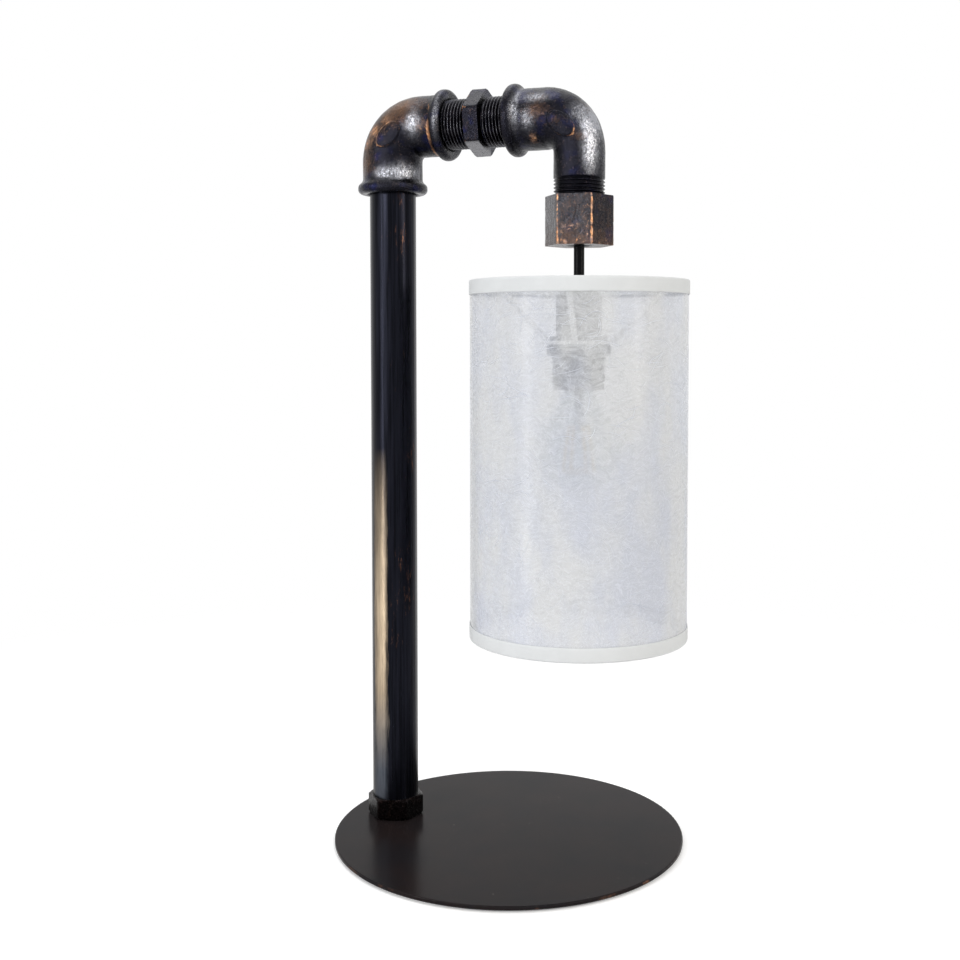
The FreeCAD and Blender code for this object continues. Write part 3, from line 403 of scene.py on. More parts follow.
def blown_glass(name, hex_colour):
    """Thin clear glass: open to the eye with a bright rim, so that the shade's light passes it."""
    material, tree, place = new_material(name)
    ripple = grain(tree, place, 14.0, 2.0, 0.5)
    bump = add(tree, "Bump", {"Strength": 0.15, "Distance": 0.0002, "Height": ripple})
    edge = add(tree, "LayerWeight", {"Blend": 0.25, "Normal": bump}, "Facing")
    shine = add(tree, "BsdfPrincipled", {"Base Color": linear(hex_colour), "Roughness": 0.03, "IOR": 1.5,
                                         "Normal": bump})
    clear = add(tree, "BsdfTransparent", {"Color": linear("f6f8f8")})
    share = add(tree, "MapRange", (edge, 0.0, 1.0, 0.06, 0.6))
    return finish_material(material, add(tree, "MixShader", {0: share, 1: clear, 2: shine}))


def set_material(obj, material):
    obj.data.materials.clear()
    obj.data.materials.append(material)


def dress(node, material):
    """Gives a carried-over solid its material."""
    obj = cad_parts[node]
    for slot in obj.material_slots:
        slot.material = material
    if not obj.material_slots:
        obj.data.materials.append(material)


# ---------------------------------------------------------------- meshes

def around_axis(count):
    """Evenly spaced angles of one turn."""
    return [2 * math.pi * j / count for j in range(count)]


def make_mesh(name, points_mm, faces, smooth=True, wear_and_highlights=()):
    """A mesh object from points in millimetres; each point may carry its rub and brown wear and its painted
    highlight, in that order.
    """
    mesh = bpy.data.meshes.new(name)
    mesh.from_pydata([tuple(p) for p in np.asarray(points_mm, float) * MM], [], faces)
    for key, numbers in zip(WEAR_AND_HIGHLIGHT, zip(*wear_and_highlights)):
        mesh.attributes.new(key, "FLOAT", "POINT").data.foreach_set("value", np.asarray(numbers, np.float32))
    mesh.validate()
    for polygon in mesh.polygons:
        polygon.use_smooth = smooth
    mesh.update()
    obj = bpy.data.objects.new(name, mesh)
    bpy.context.scene.collection.objects.link(obj)
    return obj


def loop_faces(rings, around, closed):
    """Quads between rings of points, each ring closed on itself; closed joins the last ring to the first."""
    faces = []
    for i in range(rings if closed else rings - 1):
        a, b = i * around, ((i + 1) % rings) * around
        for j in range(around):
            k = (j + 1) % around
            faces.append((a + j, a + k, b + k, b + j))
    return faces


def bumps(point, size, octaves=3, seed=0.0):
    """Lumpy noise from -1 to 1 at a point in millimetres."""
    p = Vector((point[0] + seed, point[1] - seed, point[2] + seed * 0.5)) / size
    return noise.fractal(p, 0.9, 2.0, octaves)


def bead_leg(body, bend, reach):
    """(radius, distance from the corner) along a beaded leg, from the bend to the mouth."""
    swell = math.acos(1 - (BEAD_RADIUS - body) / (BEAD_FILLET + BEAD_ROUND))
    widest = reach - BEAD_ROUND - BEAD_FLAT
    foot = widest - (BEAD_FILLET + BEAD_ROUND) * math.sin(swell)
    count = max(1, round((foot - bend) / 0.7))
    line = [(body, bend + (foot - bend) * i / count) for i in range(count + 1)]
    for i in range(1, 9):
        angle = swell * i / 8
        line.append((body + BEAD_FILLET * (1 - math.cos(angle)), foot + BEAD_FILLET * math.sin(angle)))
    for i in range(7, -1, -1):
        angle = swell * i / 8
        line.append((BEAD_RADIUS - BEAD_ROUND * (1 - math.cos(angle)), widest - BEAD_ROUND * math.sin(angle)))
    line.append((BEAD_RADIUS, widest + BEAD_FLAT))
    for i in range(1, 9):
        angle = math.radians(90 * i / 8)
        line.append((BEAD_RADIUS - BEAD_ROUND * (1 - math.cos(angle)),
                     widest + BEAD_FLAT + BEAD_ROUND * math.sin(angle)))
    return line


def bore_leg(passage, bend, reach):
    """(radius, distance) down a tapped mouth, from its face back to the bend, with thread ridges inside."""
    shoulder = reach - THREAD_LENGTH
    line = [(MATING_RADIUS + 1.0, reach), (MATING_RADIUS, reach - 1.0)]
    place = reach - 1.0
    while place - THREAD_PITCH > shoulder:
        line.append((MATING_RADIUS + 0.35, place - THREAD_PITCH * 0.5))
        line.append((MATING_RADIUS, place - THREAD_PITCH))
        place -= THREAD_PITCH
    line += [(MATING_RADIUS, shoulder), (passage, shoulder)]
    if shoulder - bend > 0.5:
        line.append((passage, (shoulder + bend) / 2))
    return line


def elbow(name, corner, out, body_out, body_down, down_leg, down_bore, passage, tilt, bump_height, marks,
          bright, ring_wear, around=216):
    """A cast elbow as one closed skin: outer bend and legs, both mouths, and the bore. Marks place the wear; the
    bright spots place painted highlights as pale metal.
    """
    bend = ELBOW_BEND
    centre = corner + out * bend + DOWN * bend
    reach = ELBOW_REACH if body_out == body_down else STREET_REACH

    def on_bend(angle):
        spoke = (-DOWN) * math.cos(angle) + (-out) * math.sin(angle)
        return centre + spoke * bend, spoke

    stations = []  # centre, outward side away from the bend's middle, radius, kind, distance from the corner
    for radius, distance in reversed(bead_leg(body_out, bend, reach)):
        stations.append((corner + out * distance, -DOWN, radius, "skin", distance))
    steps = 60
    for i in range(1, steps):
        share = (1 - math.cos(math.pi * i / steps)) / 2
        place, spoke = on_bend(math.pi / 2 * i / steps)
        stations.append((place, spoke, body_out + (body_down - body_out) * share, "bend", 0.0))
    for radius, distance in down_leg:
        kind = "skin" if body_out == body_down else "leg"
        stations.append((corner + DOWN * distance, -out, radius, kind, distance))
    for radius, distance in down_bore:
        stations.append((corner + DOWN * distance, -out, radius, "bore", distance))
    for i in range(steps - 4, 3, -4):
        place, spoke = on_bend(math.pi / 2 * i / steps)
        stations.append((place, spoke, passage, "bore", 0.0))
    for radius, distance in reversed(bore_leg(passage, bend, reach)):
        stations.append((corner + out * distance, -DOWN, radius, "bore", distance))

    points, wear_and_highlights = [], []
    pad_middle = corner + (out + DOWN) * (bend * (1 - math.sqrt(0.5)))
    lean = math.radians(tilt)
    pad_u = Vector((math.cos(lean), 0, -math.sin(lean)))
    pad_v = Vector((math.sin(lean), 0, math.cos(lean)))
    fillet_place = reach - BEAD_ROUND - BEAD_FLAT - 3.4
    for place, side, radius, kind, distance in stations:
        cast = kind in ("skin", "bend") or (kind == "leg" and distance < MALE_START - 0.01)
        for angle in around_axis(around):
            away = ACROSS * math.cos(angle) + side * math.sin(angle)
            r, worn, tan, light = radius, 0.0, 0.0, 0.0
            p = place + away * r
            if cast:
                far = p - pad_middle
                inside = math.hypot(far.dot(pad_u) / (PAD_LENGTH / 2), far.dot(pad_v) / (PAD_HEIGHT / 2))
                front = p.y < -4
                pad = min(1.0, max(0.0, (1.04 - inside) / 0.08)) if front else 0.0
                lump = bumps(p, 5.0, 4) * 0.6 + bumps(p, 1.7, 2, 31.0) * 0.4
                worn = -0.05 + 0.25 * lump + (0.12 if r > BEAD_RADIUS - 0.5 else 0.0)
                if kind == "skin" and side == -DOWN:
                    facing = max(0.0, 0.5 - 0.5 * math.cos(angle)) ** 0.5
                    patchy = 0.7 - 0.45 * math.sin(angle) + 0.4 * bumps(p, 6.0, 2, 50.0)
                    near_fillet = math.exp(-((distance - fillet_place) / 1.6) ** 2)
                    worn += ring_wear * patchy * facing * near_fillet
                if front and inside < 1.4:
                    edge = max(0.0, 1 - abs(inside - 1.0) / 0.16)
                    worn += edge * (0.35 + 0.35 * max(0.0, -far.dot(pad_u) / 8 * (1 if out.x > 0 else -1)))
                where = p - corner
                for dx, dz, size, copper, haze in marks:
                    weight = math.exp(-((where.x - dx) ** 2 + (where.z - dz) ** 2) / size ** 2)
                    weight *= 1.0 if p.y < 0 else 0.5
                    worn += copper * weight
                    tan += haze * weight
                # Painted highlight: each bright spot lays pale metal on the front, where light catches the casting
                for dx, dz, wide, tall, strength in bright if p.y < 0 else ():
                    light += strength * math.exp(-((where.x - dx) / wide) ** 2 - ((where.z - dz) / tall) ** 2)
                r += PAD_RISE * pad * 0.95 + lump * bump_height * (1 if r < BEAD_RADIUS - 1.5 else 0.5)
                p = place + away * r
            points.append(p)
            wear_and_highlights.append((worn, tan, light))
    return make_mesh(name, points, loop_faces(len(stations), around, True), wear_and_highlights=wear_and_highlights)


def fix_normals(obj):
    """Turns all faces outwards."""
    shape = bmesh.new()
    shape.from_mesh(obj.data)
    bmesh.ops.recalc_face_normals(shape, faces=shape.faces)
    shape.to_mesh(obj.data)
    shape.free()
    obj.data.update()
    return obj


def thread_rise(place, angle, start, end):
    """Height of a thread's flank from 0 to 1, at a place along the axis and an angle about it."""
    phase = (place / THREAD_PITCH - angle / (2 * math.pi)) % 1.0
    tooth = max(0.0, min(1.0, (0.5 - abs(phase - 0.5)) * 2 * 1.25 - 0.05))
    fade = min(1.0, max(0.0, (place - start) / 1.2), max(0.0, (end - place) / 1.2))
    return tooth * fade


def base_shape(context):
    colours = context.scene.pipe_lamp_colours
    dress("base_plate", satin_plate(colours))
    dress("foot_screws", moulded("Zinc-plated steel screw", "b9b7b0", 0.34, metallic=0.9))
    dress("foot_insert", moulded("Turned steel", "a9a8a6", 0.3, metallic=0.9))
    # Felt with a soft, slightly uneven edge, open round the screw heads
    around, outer = 240, BASE_RADIUS - 2.5
    outline = [(0.0, outer - 0.25, 0.0), (0.0, outer, 0.25), (0.0, outer, 0.7), (0.0, outer - 0.2, 0.97),
               (TUBE_X, FELT_HOLE + 0.2, 0.97), (TUBE_X, FELT_HOLE, 0.7), (TUBE_X, FELT_HOLE, 0.25),
               (TUBE_X, FELT_HOLE + 0.25, 0.0)]
    points = []
    for middle, radius, z in outline:
        for angle in around_axis(around):
            r = radius - abs(bumps((math.cos(angle) * 80, math.sin(angle) * 80, z), 1.5)) * 0.12
            points.append((middle + r * math.cos(angle), r * math.sin(angle), z))
    felt = make_mesh("felt_pad", points, loop_faces(len(outline), around, True))
    set_material(fix_normals(felt), pressed_felt())
    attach(felt, "stand")
    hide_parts("base_felt")


def hexagon_ring(flats, turn, corner_round, around):
    """Points (x, y) round a hexagon with rounded corners, each with how near it is to a corner."""
    ring = []
    limit = flats / 2 / math.cos(math.pi / 6) - corner_round
    for angle in around_axis(around):
        sector = (angle - math.radians(turn)) % (math.pi / 3) - math.pi / 6
        r = flats / 2 / math.cos(sector)
        r = r if r < limit else limit + (r - limit) * 0.35
        ring.append((r * math.cos(angle), r * math.sin(angle), abs(sector) / (math.pi / 6)))
    return ring


def lathe_points(outline, around, centre_x):
    """Rings of points about an upright axis, from (radius, height) pairs."""
    return [(centre_x + r * math.cos(angle), r * math.sin(angle), z)
            for r, z in outline for angle in around_axis(around)]


def foot_nut_piece(context):
    colours = context.scene.pipe_lamp_colours
    around, rows = 240, 22
    top = PLATE_TOP + FOOT_HEIGHT
    corner = FOOT_FLATS / math.sqrt(3)
    points, wear_and_highlights = [], []
    for i in range(rows + 1):
        z = PLATE_TOP + FOOT_HEIGHT * i / rows
        from_end = min(z - PLATE_TOP, top - z)
        limit = corner - FOOT_CHAMFER + from_end / math.tan(math.radians(30))
        for x, y, near in hexagon_ring(FOOT_FLATS, FOOT_TURN, 0.35, around):
            r = math.hypot(x, y)
            k = min(1.0, limit / r)
            lump = bumps((x, y, z), 2.4, 3, 5.0)
            k += lump * 0.06 / r * (0.3 if k < 1 else 1)
            points.append((TUBE_X + x * k, y * k, z))
            edge = max(0.0, near - 0.86) / 0.14 + (0.5 if 0.985 < k < 0.999 else 0)
            wear_and_highlights.append((0.12 + 0.55 * edge + 0.35 * lump,))
    points += lathe_points(((TUBE_INNER + 0.3, top), (TUBE_INNER + 0.05, top), (TUBE_INNER + 0.05, PLATE_TOP)),
                           around, TUBE_X)
    wear_and_highlights += [(0.0,)] * (len(points) - len(wear_and_highlights))
    nut = make_mesh("foot_nut_worn", points, loop_faces(len(points) // around, around, True), wear_and_highlights=wear_and_highlights)
    set_material(fix_normals(nut), patinated_iron(colours, "Blacked steel nut, worn at its corners", 0.3,
                                                 dark_hex="110d0d", deep_hex="1d1413"))
    sharpen(nut, 28)
    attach(nut, "stand")
    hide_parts("foot_nut")


def sharpen(obj, degrees):
    """Shades a mesh smooth, with edges sharper than the angle left crisp."""
    obj.data.set_sharp_from_angle(angle=math.radians(degrees))


def tube_finish(context):
    colours = context.scene.pipe_lamp_colours
    dress("stem_tube", tube_lacquer(colours))
    dress("stem_adaptor", moulded("Turned steel adaptor", "a9a8a6", 0.3, metallic=0.9))
    dress("cable_grommet", moulded("Moulded rubber grommet", "111112", 0.6, 0.6, 0.00006))


def elbow_pieces(context):
    colours = context.scene.pipe_lamp_colours
    height = context.scene.pipe_lamp_sizes.cast_bump / MM
    iron = patinated_iron(colours, highlight_hex="a4a5ab", least=0.2, drag=0.7)
    corner = Vector((TUBE_X, 0, ARM_Z))
    marks = ((-4, -2, 5.5, 0.75, 0.6), (4, 3, 4.5, 0.55, 0.6), (-9, -10, 4.5, 0.6, 0.8), (-11, -20, 6.0, 0.2, 1.0),
             (12, 9, 8.0, 0.05, 1.0), (2, 11, 7.0, 0.0, 0.8), (24.5, -2, 3.5, 0.4, 0.4), (24.5, 9, 4.0, 0.3, 0.3))
    # Painted highlights, laid as pale metal: along the bend's right, above the lower bead and beside the ring, where
    # light catches them
    bright = ((19.5, 1.0, 3.5, 6.0, 1.1), (11.5, -25.0, 5.5, 3.5, 1.3), (3.0, -25.5, 5.0, 2.5, 0.8),
              (12.0, 8.0, 5.0, 2.5, 0.5), (-12.0, -26.0, 2.5, 4.0, 0.6), (33.5, 4.0, 1.2, 9.0, 0.6))
    lower = elbow("lower_elbow_cast", corner, ALONG, ELBOW_BODY, ELBOW_BODY,
                  bead_leg(ELBOW_BODY, ELBOW_BEND, ELBOW_REACH), bore_leg(LOWER_PASSAGE, ELBOW_BEND, ELBOW_REACH),
                  LOWER_PASSAGE, -PAD_TILT, height, marks, bright, 0.95)
    set_material(fix_normals(lower), iron)
    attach(lower, "stand")
    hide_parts("lower_elbow")

    corner = Vector((HANG_X, 0, ARM_Z))
    leg = [(STREET_LEG, ELBOW_BEND + (MALE_START - ELBOW_BEND) * i / 18) for i in range(19)]
    threaded = MALE_END - MALE_START
    count = round(threaded / (THREAD_PITCH / 8))
    for i in range(1, count + 1):
        leg.append((THREAD_RADIUS - THREAD_DEPTH, MALE_START + threaded * i / count))
    bore = [(STREET_PASSAGE, distance) for distance in (MALE_END, 36.0, 27.0, ELBOW_BEND)]
    marks = ((-21, -11, 2.6, 0.8, 0.5), (-6, -4, 3.0, 0.3, 0.3), (4, -12, 3.5, 0.2, 0.4), (-18, 3, 6.0, 0.0, 0.5),
             (8, 6, 5.0, 0.1, 0.5))
    # Painted highlights on the street elbow, laid as pale metal: down the leg's right, over the bend and along the
    # horizontal leg by its bead
    bright = ((8.8, -18.0, 2.6, 9.0, 1.6), (9.0, -5.0, 3.4, 7.0, 1.7), (5.0, 2.0, 4.5, 4.5, 1.0),
              (-19.0, 8.5, 6.0, 2.0, 0.8), (-30.0, 4.0, 1.6, 8.0, 0.9), (-23.0, -2.0, 3.0, 5.0, 0.5))
    street = elbow("street_elbow_cast", corner, -ALONG, STREET_BODY, STREET_LEG, leg, bore, STREET_PASSAGE,
                   PAD_TILT, height, marks, bright, 0.2)
    cut_thread(street, corner)
    set_material(fix_normals(street), iron)
    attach(street, "stand")
    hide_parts("street_elbow")


def cut_thread(obj, corner):
    """Raises the helical thread on the street elbow's leg."""
    root = (THREAD_RADIUS - THREAD_DEPTH) * MM
    rub = obj.data.attributes["rub"].data
    for vertex in obj.data.vertices:
        x, y = vertex.co.x - corner.x * MM, vertex.co.y
        r = math.hypot(x, y)
        below = (corner.z * MM - vertex.co.z) / MM
        if below > MALE_START - 0.001 and abs(r - root) < 0.0003:
            rise = thread_rise(below, math.atan2(y, x), MALE_START - 1.0, MALE_END)
            grow = (r + rise * THREAD_DEPTH * MM) / r
            vertex.co.x = corner.x * MM + x * grow
            vertex.co.y = y * grow
            rub[vertex.index].value = -0.1 + 0.3 * max(0.0, rise - 0.75) / 0.25


def nipple_piece(context):
    colours = context.scene.pipe_lamp_colours
    around = 200
    half = NIPPLE_HEX_WIDTH / 2
    root = THREAD_RADIUS - THREAD_DEPTH
    stations = []
    step = THREAD_PITCH / 8
    count = round((NIPPLE_END - half) / step)
    for i in range(count + 1):
        stations.append(("thread", -NIPPLE_END + (NIPPLE_END - half) * i / count))
    rows = 20
    for i in range(rows + 1):
        stations.append(("hex", -half + NIPPLE_HEX_WIDTH * i / rows))
    for i in range(count + 1):
        stations.append(("thread", half + (NIPPLE_END - half) * i / count))
    for x in (NIPPLE_END, 8, -8, -NIPPLE_END):
        stations.append(("bore", x))
    points, wear_and_highlights = [], []
    corner = NIPPLE_HEX / math.sqrt(3)
    for kind, x in stations:
        for angle in around_axis(around):  # counted from straight down, towards the back
            worn = 0.0
            if kind == "thread":
                rise = thread_rise(x, angle, -NIPPLE_END, -half) if x < 0 else thread_rise(x, angle, half, NIPPLE_END)
                r = root + THREAD_DEPTH * rise
                worn = -0.25 + 0.25 * max(0.0, rise - 0.8) / 0.2
            elif kind == "hex":
                sector = (angle - math.radians(NIPPLE_TURN)) % (math.pi / 3) - math.pi / 6
                r = NIPPLE_HEX / 2 / math.cos(sector)
                limit = corner - 0.5
                r = r if r < limit else limit + (r - limit) * 0.35
                from_end = half - abs(x)
                r = min(r, corner - 0.9 + from_end / math.tan(math.radians(30)))
                lump = bumps((x, r * math.cos(angle), r * math.sin(angle)), 2.2, 3, 8.0)
                # The front's upper left edges are rubbed most, as a hand or wrench meets them
                upper = 0.5 + 0.5 * math.cos(angle - math.radians(250))
                worn = -0.1 + 0.35 * lump + 0.5 * upper * max(0.0, abs(sector) / (math.pi / 6) - 0.86) / 0.14
                worn += 0.45 * upper * max(0.0, 1 - (x + half) / 1.6)
                r += lump * 0.06
            else:
                r = NIPPLE_BORE
            points.append((NIPPLE_X + x, r * math.sin(angle), ARM_Z - r * math.cos(angle)))
            # Painted reflection: the flat that looks down and forward gets the pale floor's reflection, laid as pale
            # metal; thread crests get a thin painted highlight
            low_flat = -50 < (math.degrees(angle) + 180) % 360 - 180 < NIPPLE_TURN
            crest = max(0.0, worn + 0.13) / 0.13 if kind == "thread" else 0.0
            wear_and_highlights.append((worn, 0.0, 1.5 if kind == "hex" and low_flat else 0.45 * crest))
    nipple = make_mesh("nipple_threaded", points, loop_faces(len(stations), around, True), wear_and_highlights=wear_and_highlights)
    set_material(fix_normals(nipple), patinated_iron(colours, "Blacked malleable iron, cut threads", 1.0))
    sharpen(nipple, 35)
    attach(nipple, "stand")
    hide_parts("hex_nipple")


def cap_piece(context):
    colours = context.scene.pipe_lamp_colours
    around, rows = 288, 60
    points, wear_and_highlights = [], []
    # Wear and painted highlight of the six flats, counted from the corner at CAP_TURN: copper wear, then a painted
    # highlight laid as pale metal, strongest on the front-left flat
    flats = ((0.20, 0.1), (0.26, 0.0), (0.10, 0.2), (-0.05, 0.78), (0.20, 0.15), (0.06, 0.0))
    corner = CAP_FLATS / math.sqrt(3)
    height = CAP_TOP - CAP_FACE
    for i in range(rows + 1):
        z = CAP_FACE + height * i / rows
        from_end = min(z - CAP_FACE, CAP_TOP - z)
        limit = corner - 0.5 + from_end / math.tan(math.radians(30))
        for x, y, near in hexagon_ring(CAP_FLATS, CAP_TURN, 0.45, around):
            r = math.hypot(x, y)
            k = min(1.0, limit / r)
            lump = bumps((x, y, z), 3.2, 4, 14.0)
            dent = bumps((x, y, z), 1.2, 2, 22.0)
            k += (lump * 0.10 + dent * 0.05) / r
            points.append((HANG_X + x * k, y * k, z))
            edge = max(0.0, near - 0.90) / 0.10
            low = max(0.0, 1 - (z - CAP_FACE) / 12.0)
            copper, light = flats[int((math.degrees(math.atan2(y, x)) - CAP_TURN) % 360 // 60)]
            right = 0.6 + 0.4 * math.cos(math.atan2(y, x) + math.radians(50))
            wear_and_highlights.append((copper + (right + 0.5 * dent) * edge + 0.22 * low + 0.42 * lump, 0.20 + 0.35 * low, light))
    inner = [(MATING_RADIUS + 1.0, CAP_TOP), (MATING_RADIUS, CAP_TOP - 1.0)]
    z = CAP_TOP - 1.0
    while z - THREAD_PITCH > CAP_FLOOR + 1:
        inner += [(MATING_RADIUS + 0.35, z - THREAD_PITCH / 2), (MATING_RADIUS, z - THREAD_PITCH)]
        z -= THREAD_PITCH
    inner += [(MATING_RADIUS, CAP_FLOOR), (CAP_HOLE + 0.2, CAP_FLOOR), (CAP_HOLE, CAP_FLOOR - 0.2),
              (CAP_HOLE, CAP_FACE + 0.3), (CAP_HOLE + 0.3, CAP_FACE)]
    points += lathe_points(inner, around, HANG_X)
    wear_and_highlights += [(0.1, 0.3, 0.0)] * (len(points) - len(wear_and_highlights))
    cap = make_mesh("cap_worn", points, loop_faces(len(points) // around, around, True), wear_and_highlights=wear_and_highlights)
    set_material(fix_normals(cap), patinated_iron(colours, "Forged iron cap, blacked and rubbed back", 1.0, 0.55))
    sharpen(cap, 32)
    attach(cap, "stand")
    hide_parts("hex_cap")
    nylon = moulded("Moulded nylon, black", "0c0c0e", 0.5)
    for node in ("cap_bush", "cord_clamp", "cord_grip", "grip_screw"):
        dress(node, nylon)
    dress("clamp_screws", moulded("Zinc-plated steel, small screw", "b9b7b0", 0.34, metallic=0.9))


def cord_tube(name, top, bottom, radius):
    """A straight stretch of cord with a very slightly uneven sheath."""
    around = 40
    rows = round((top - bottom) / 0.5)
    points = []
    for i in range(rows + 1):
        z = top + (bottom - top) * i / rows
        for angle in around_axis(around):
            r = radius - abs(bumps((math.cos(angle) * 3, math.sin(angle) * 3, z * 0.2), 2.0)) * 0.015
            points.append((HANG_X + r * math.cos(angle), r * math.sin(angle), z))
    faces = loop_faces(rows + 1, around, False)
    faces.append(tuple(range(around)))
    faces.append(tuple(reversed(range(rows * around, (rows + 1) * around))))
    return fix_normals(make_mesh(name, points, faces))


def cord_pieces(context):
    radius = context.scene.pipe_lamp_sizes.cord_diameter / MM / 2
    sheath = cord_sheath()
    upper = cord_tube("cord_in_bush", 324.0, CORD_JOINT, radius)
    lower = cord_tube("cord_below_cap", CORD_JOINT, 290.8, radius)
    for piece, node in ((upper, "cord_upper"), (lower, "cord_lower")):
        set_material(piece, sheath)
        sharpen(piece, 60)
        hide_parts(node)
    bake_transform(upper)
    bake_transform(lower)

    # The lead inside the tube and the fittings follows the solids' route
    route = [(TUBE_X, 11.3, 51.2), (TUBE_X, -4.5, 51.2), (TUBE_X, -4.5, 87.2), (TUBE_X, 0, 147.2),
             (TUBE_X, 0, ARM_Z - 36), (TUBE_X, 0, ARM_Z), (TUBE_X + 36, 0, ARM_Z), (HANG_X - 36, 0, ARM_Z),
             (HANG_X, 0, ARM_Z), (HANG_X, 0, ARM_Z - 36), (HANG_X, 0, 319.75)]
    curve = bpy.data.curves.new("lead_in_tube", "CURVE")
    curve.dimensions = "3D"
    spline = curve.splines.new("NURBS")
    spline.points.add(len(route) - 1)
    for point, place in zip(spline.points, route):
        point.co = (*(v * MM for v in place), 1)
    spline.order_u = 3
    spline.use_endpoint_u = True
    curve.bevel_depth = radius * MM
    curve.bevel_resolution = 6
    curve.resolution_u = 16
    curve.use_fill_caps = True
    lead = bpy.data.objects.new("lead_in_tube", curve)
    context.scene.collection.objects.link(lead)
    lead.data.materials.append(sheath)
    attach(lead, "stand")
    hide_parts("lead_inside")
    dress("lead_end", sheath)
    dress("live_core", moulded("Wire insulation, brown", "5a3420", 0.4))
    dress("neutral_core", moulded("Wire insulation, blue", "2a4f8f", 0.4))


def shade_pieces(context):
    colours, sizes = context.scene.pipe_lamp_colours, context.scene.pipe_lamp_sizes
    around = 288
    low, high = SHADE_BOTTOM + TAPE_THICKNESS, SHADE_TOP - TAPE_THICKNESS
    outline, rows = [], 90
    for i in range(rows + 1):
        outline.append((SKIN_RADIUS - 0.02, low + (high - low) * i / rows))
    for i in range(rows + 1):
        outline.append((SKIN_RADIUS - SKIN_THICKNESS * 0.5, high + (low - high) * i / rows))
    points = np.array(lathe_points(outline, around, 0.0))
    for p in points:
        wave = bumps((p[0] * 0.6, p[1] * 0.6, p[2]), 30.0, 2, 3.0) * 0.10
        r = math.hypot(p[0], p[1])
        # The sheet's ends lap at the back
        lap = 0.2 if abs(p[0]) < 4 and p[1] > 0 and r > SKIN_RADIUS - 0.1 else 0.0
        p[:2] *= (r - abs(wave) + lap) / r
        p[0] += HANG_X
    skin = make_mesh("shade_fibre_skin", points, loop_faces(len(outline), around, True))
    set_material(fix_normals(skin), fibre_film(colours))
    sharpen(skin, 40)
    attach(skin, "pendant")
    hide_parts("shade_skin")

    fibres = laid_fibres(context, low + TAPE_WIDTH, high - TAPE_WIDTH)
    set_material(fibres, fibre_thread(colours))
    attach(fibres, "pendant")

    tape = edge_tape(colours)
    width = sizes.tape_width / MM
    for name, node, edge, inward in (("top_tape", "top_trim", SHADE_TOP, 1),
                                     ("bottom_tape", "bottom_trim", SHADE_BOTTOM, -1)):
        piece = folded_tape(name, edge, inward, width)
        set_material(piece, tape)
        sharpen(piece, 50)
        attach(piece, "pendant")
        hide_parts(node)
    powder = moulded("Steel wire, white powder coat", "e6e6e4", 0.45, 0.5, 0.00006)
    dress("shade_spider", powder)
    dress("bottom_wire_ring", powder)


def laid_fibres(context, low, high):
    """Curled fibres laid on the film, each a thin three-sided strand that follows the drum."""
    sizes = context.scene.pipe_lamp_sizes
    rng = random.Random(7)
    points, faces = [], []
    girth = 2 * math.pi * SKIN_RADIUS
    width = sizes.fibre_width / MM
    for _ in range(sizes.fibre_count):
        x, z = rng.uniform(0, girth), rng.uniform(low, high)
        heading = rng.gauss(0, 0.35) if rng.random() < 0.7 else rng.gauss(0.9, 0.5)
        curl = rng.gauss(0, 0.07)
        change = rng.gauss(0, 0.008)
        length = rng.uniform(3, 17)
        steps = max(4, round(length / 1.2))
        line = []
        for _ in range(steps + 1):
            if low < z < high:
                line.append((x, z, heading))
            heading += curl * 1.2
            curl += change
            x += math.cos(heading) * length / steps
            z += math.sin(heading) * length / steps
        if len(line) < 3:
            continue
        first = len(points)
        for i, (x_, z_, turn) in enumerate(line):
            taper = 0.35 + 0.65 * min(1.0, i / 2, (len(line) - 1 - i) / 2)
            across = (-math.sin(turn), math.cos(turn))
            for off, rise in ((-width / 2 * taper, -0.03), (width / 2 * taper, -0.03), (0.0, 0.04 * taper)):
                u, w = x_ + across[0] * off, z_ + across[1] * off
                r = SKIN_RADIUS - 0.04 + rise
                angle = u / SKIN_RADIUS
                points.append((HANG_X + r * math.cos(angle), r * math.sin(angle), w))
        count = len(line)
        for i in range(count - 1):
            a = first + i * 3
            for j in range(3):
                k = (j + 1) % 3
                faces.append((a + j, a + k, a + 3 + k, a + 3 + j))
        faces.append((first + 2, first + 1, first))
        end = first + (count - 1) * 3
        faces.append((end, end + 1, end + 2))
    return make_mesh("shade_laid_fibres", points, faces, smooth=False)


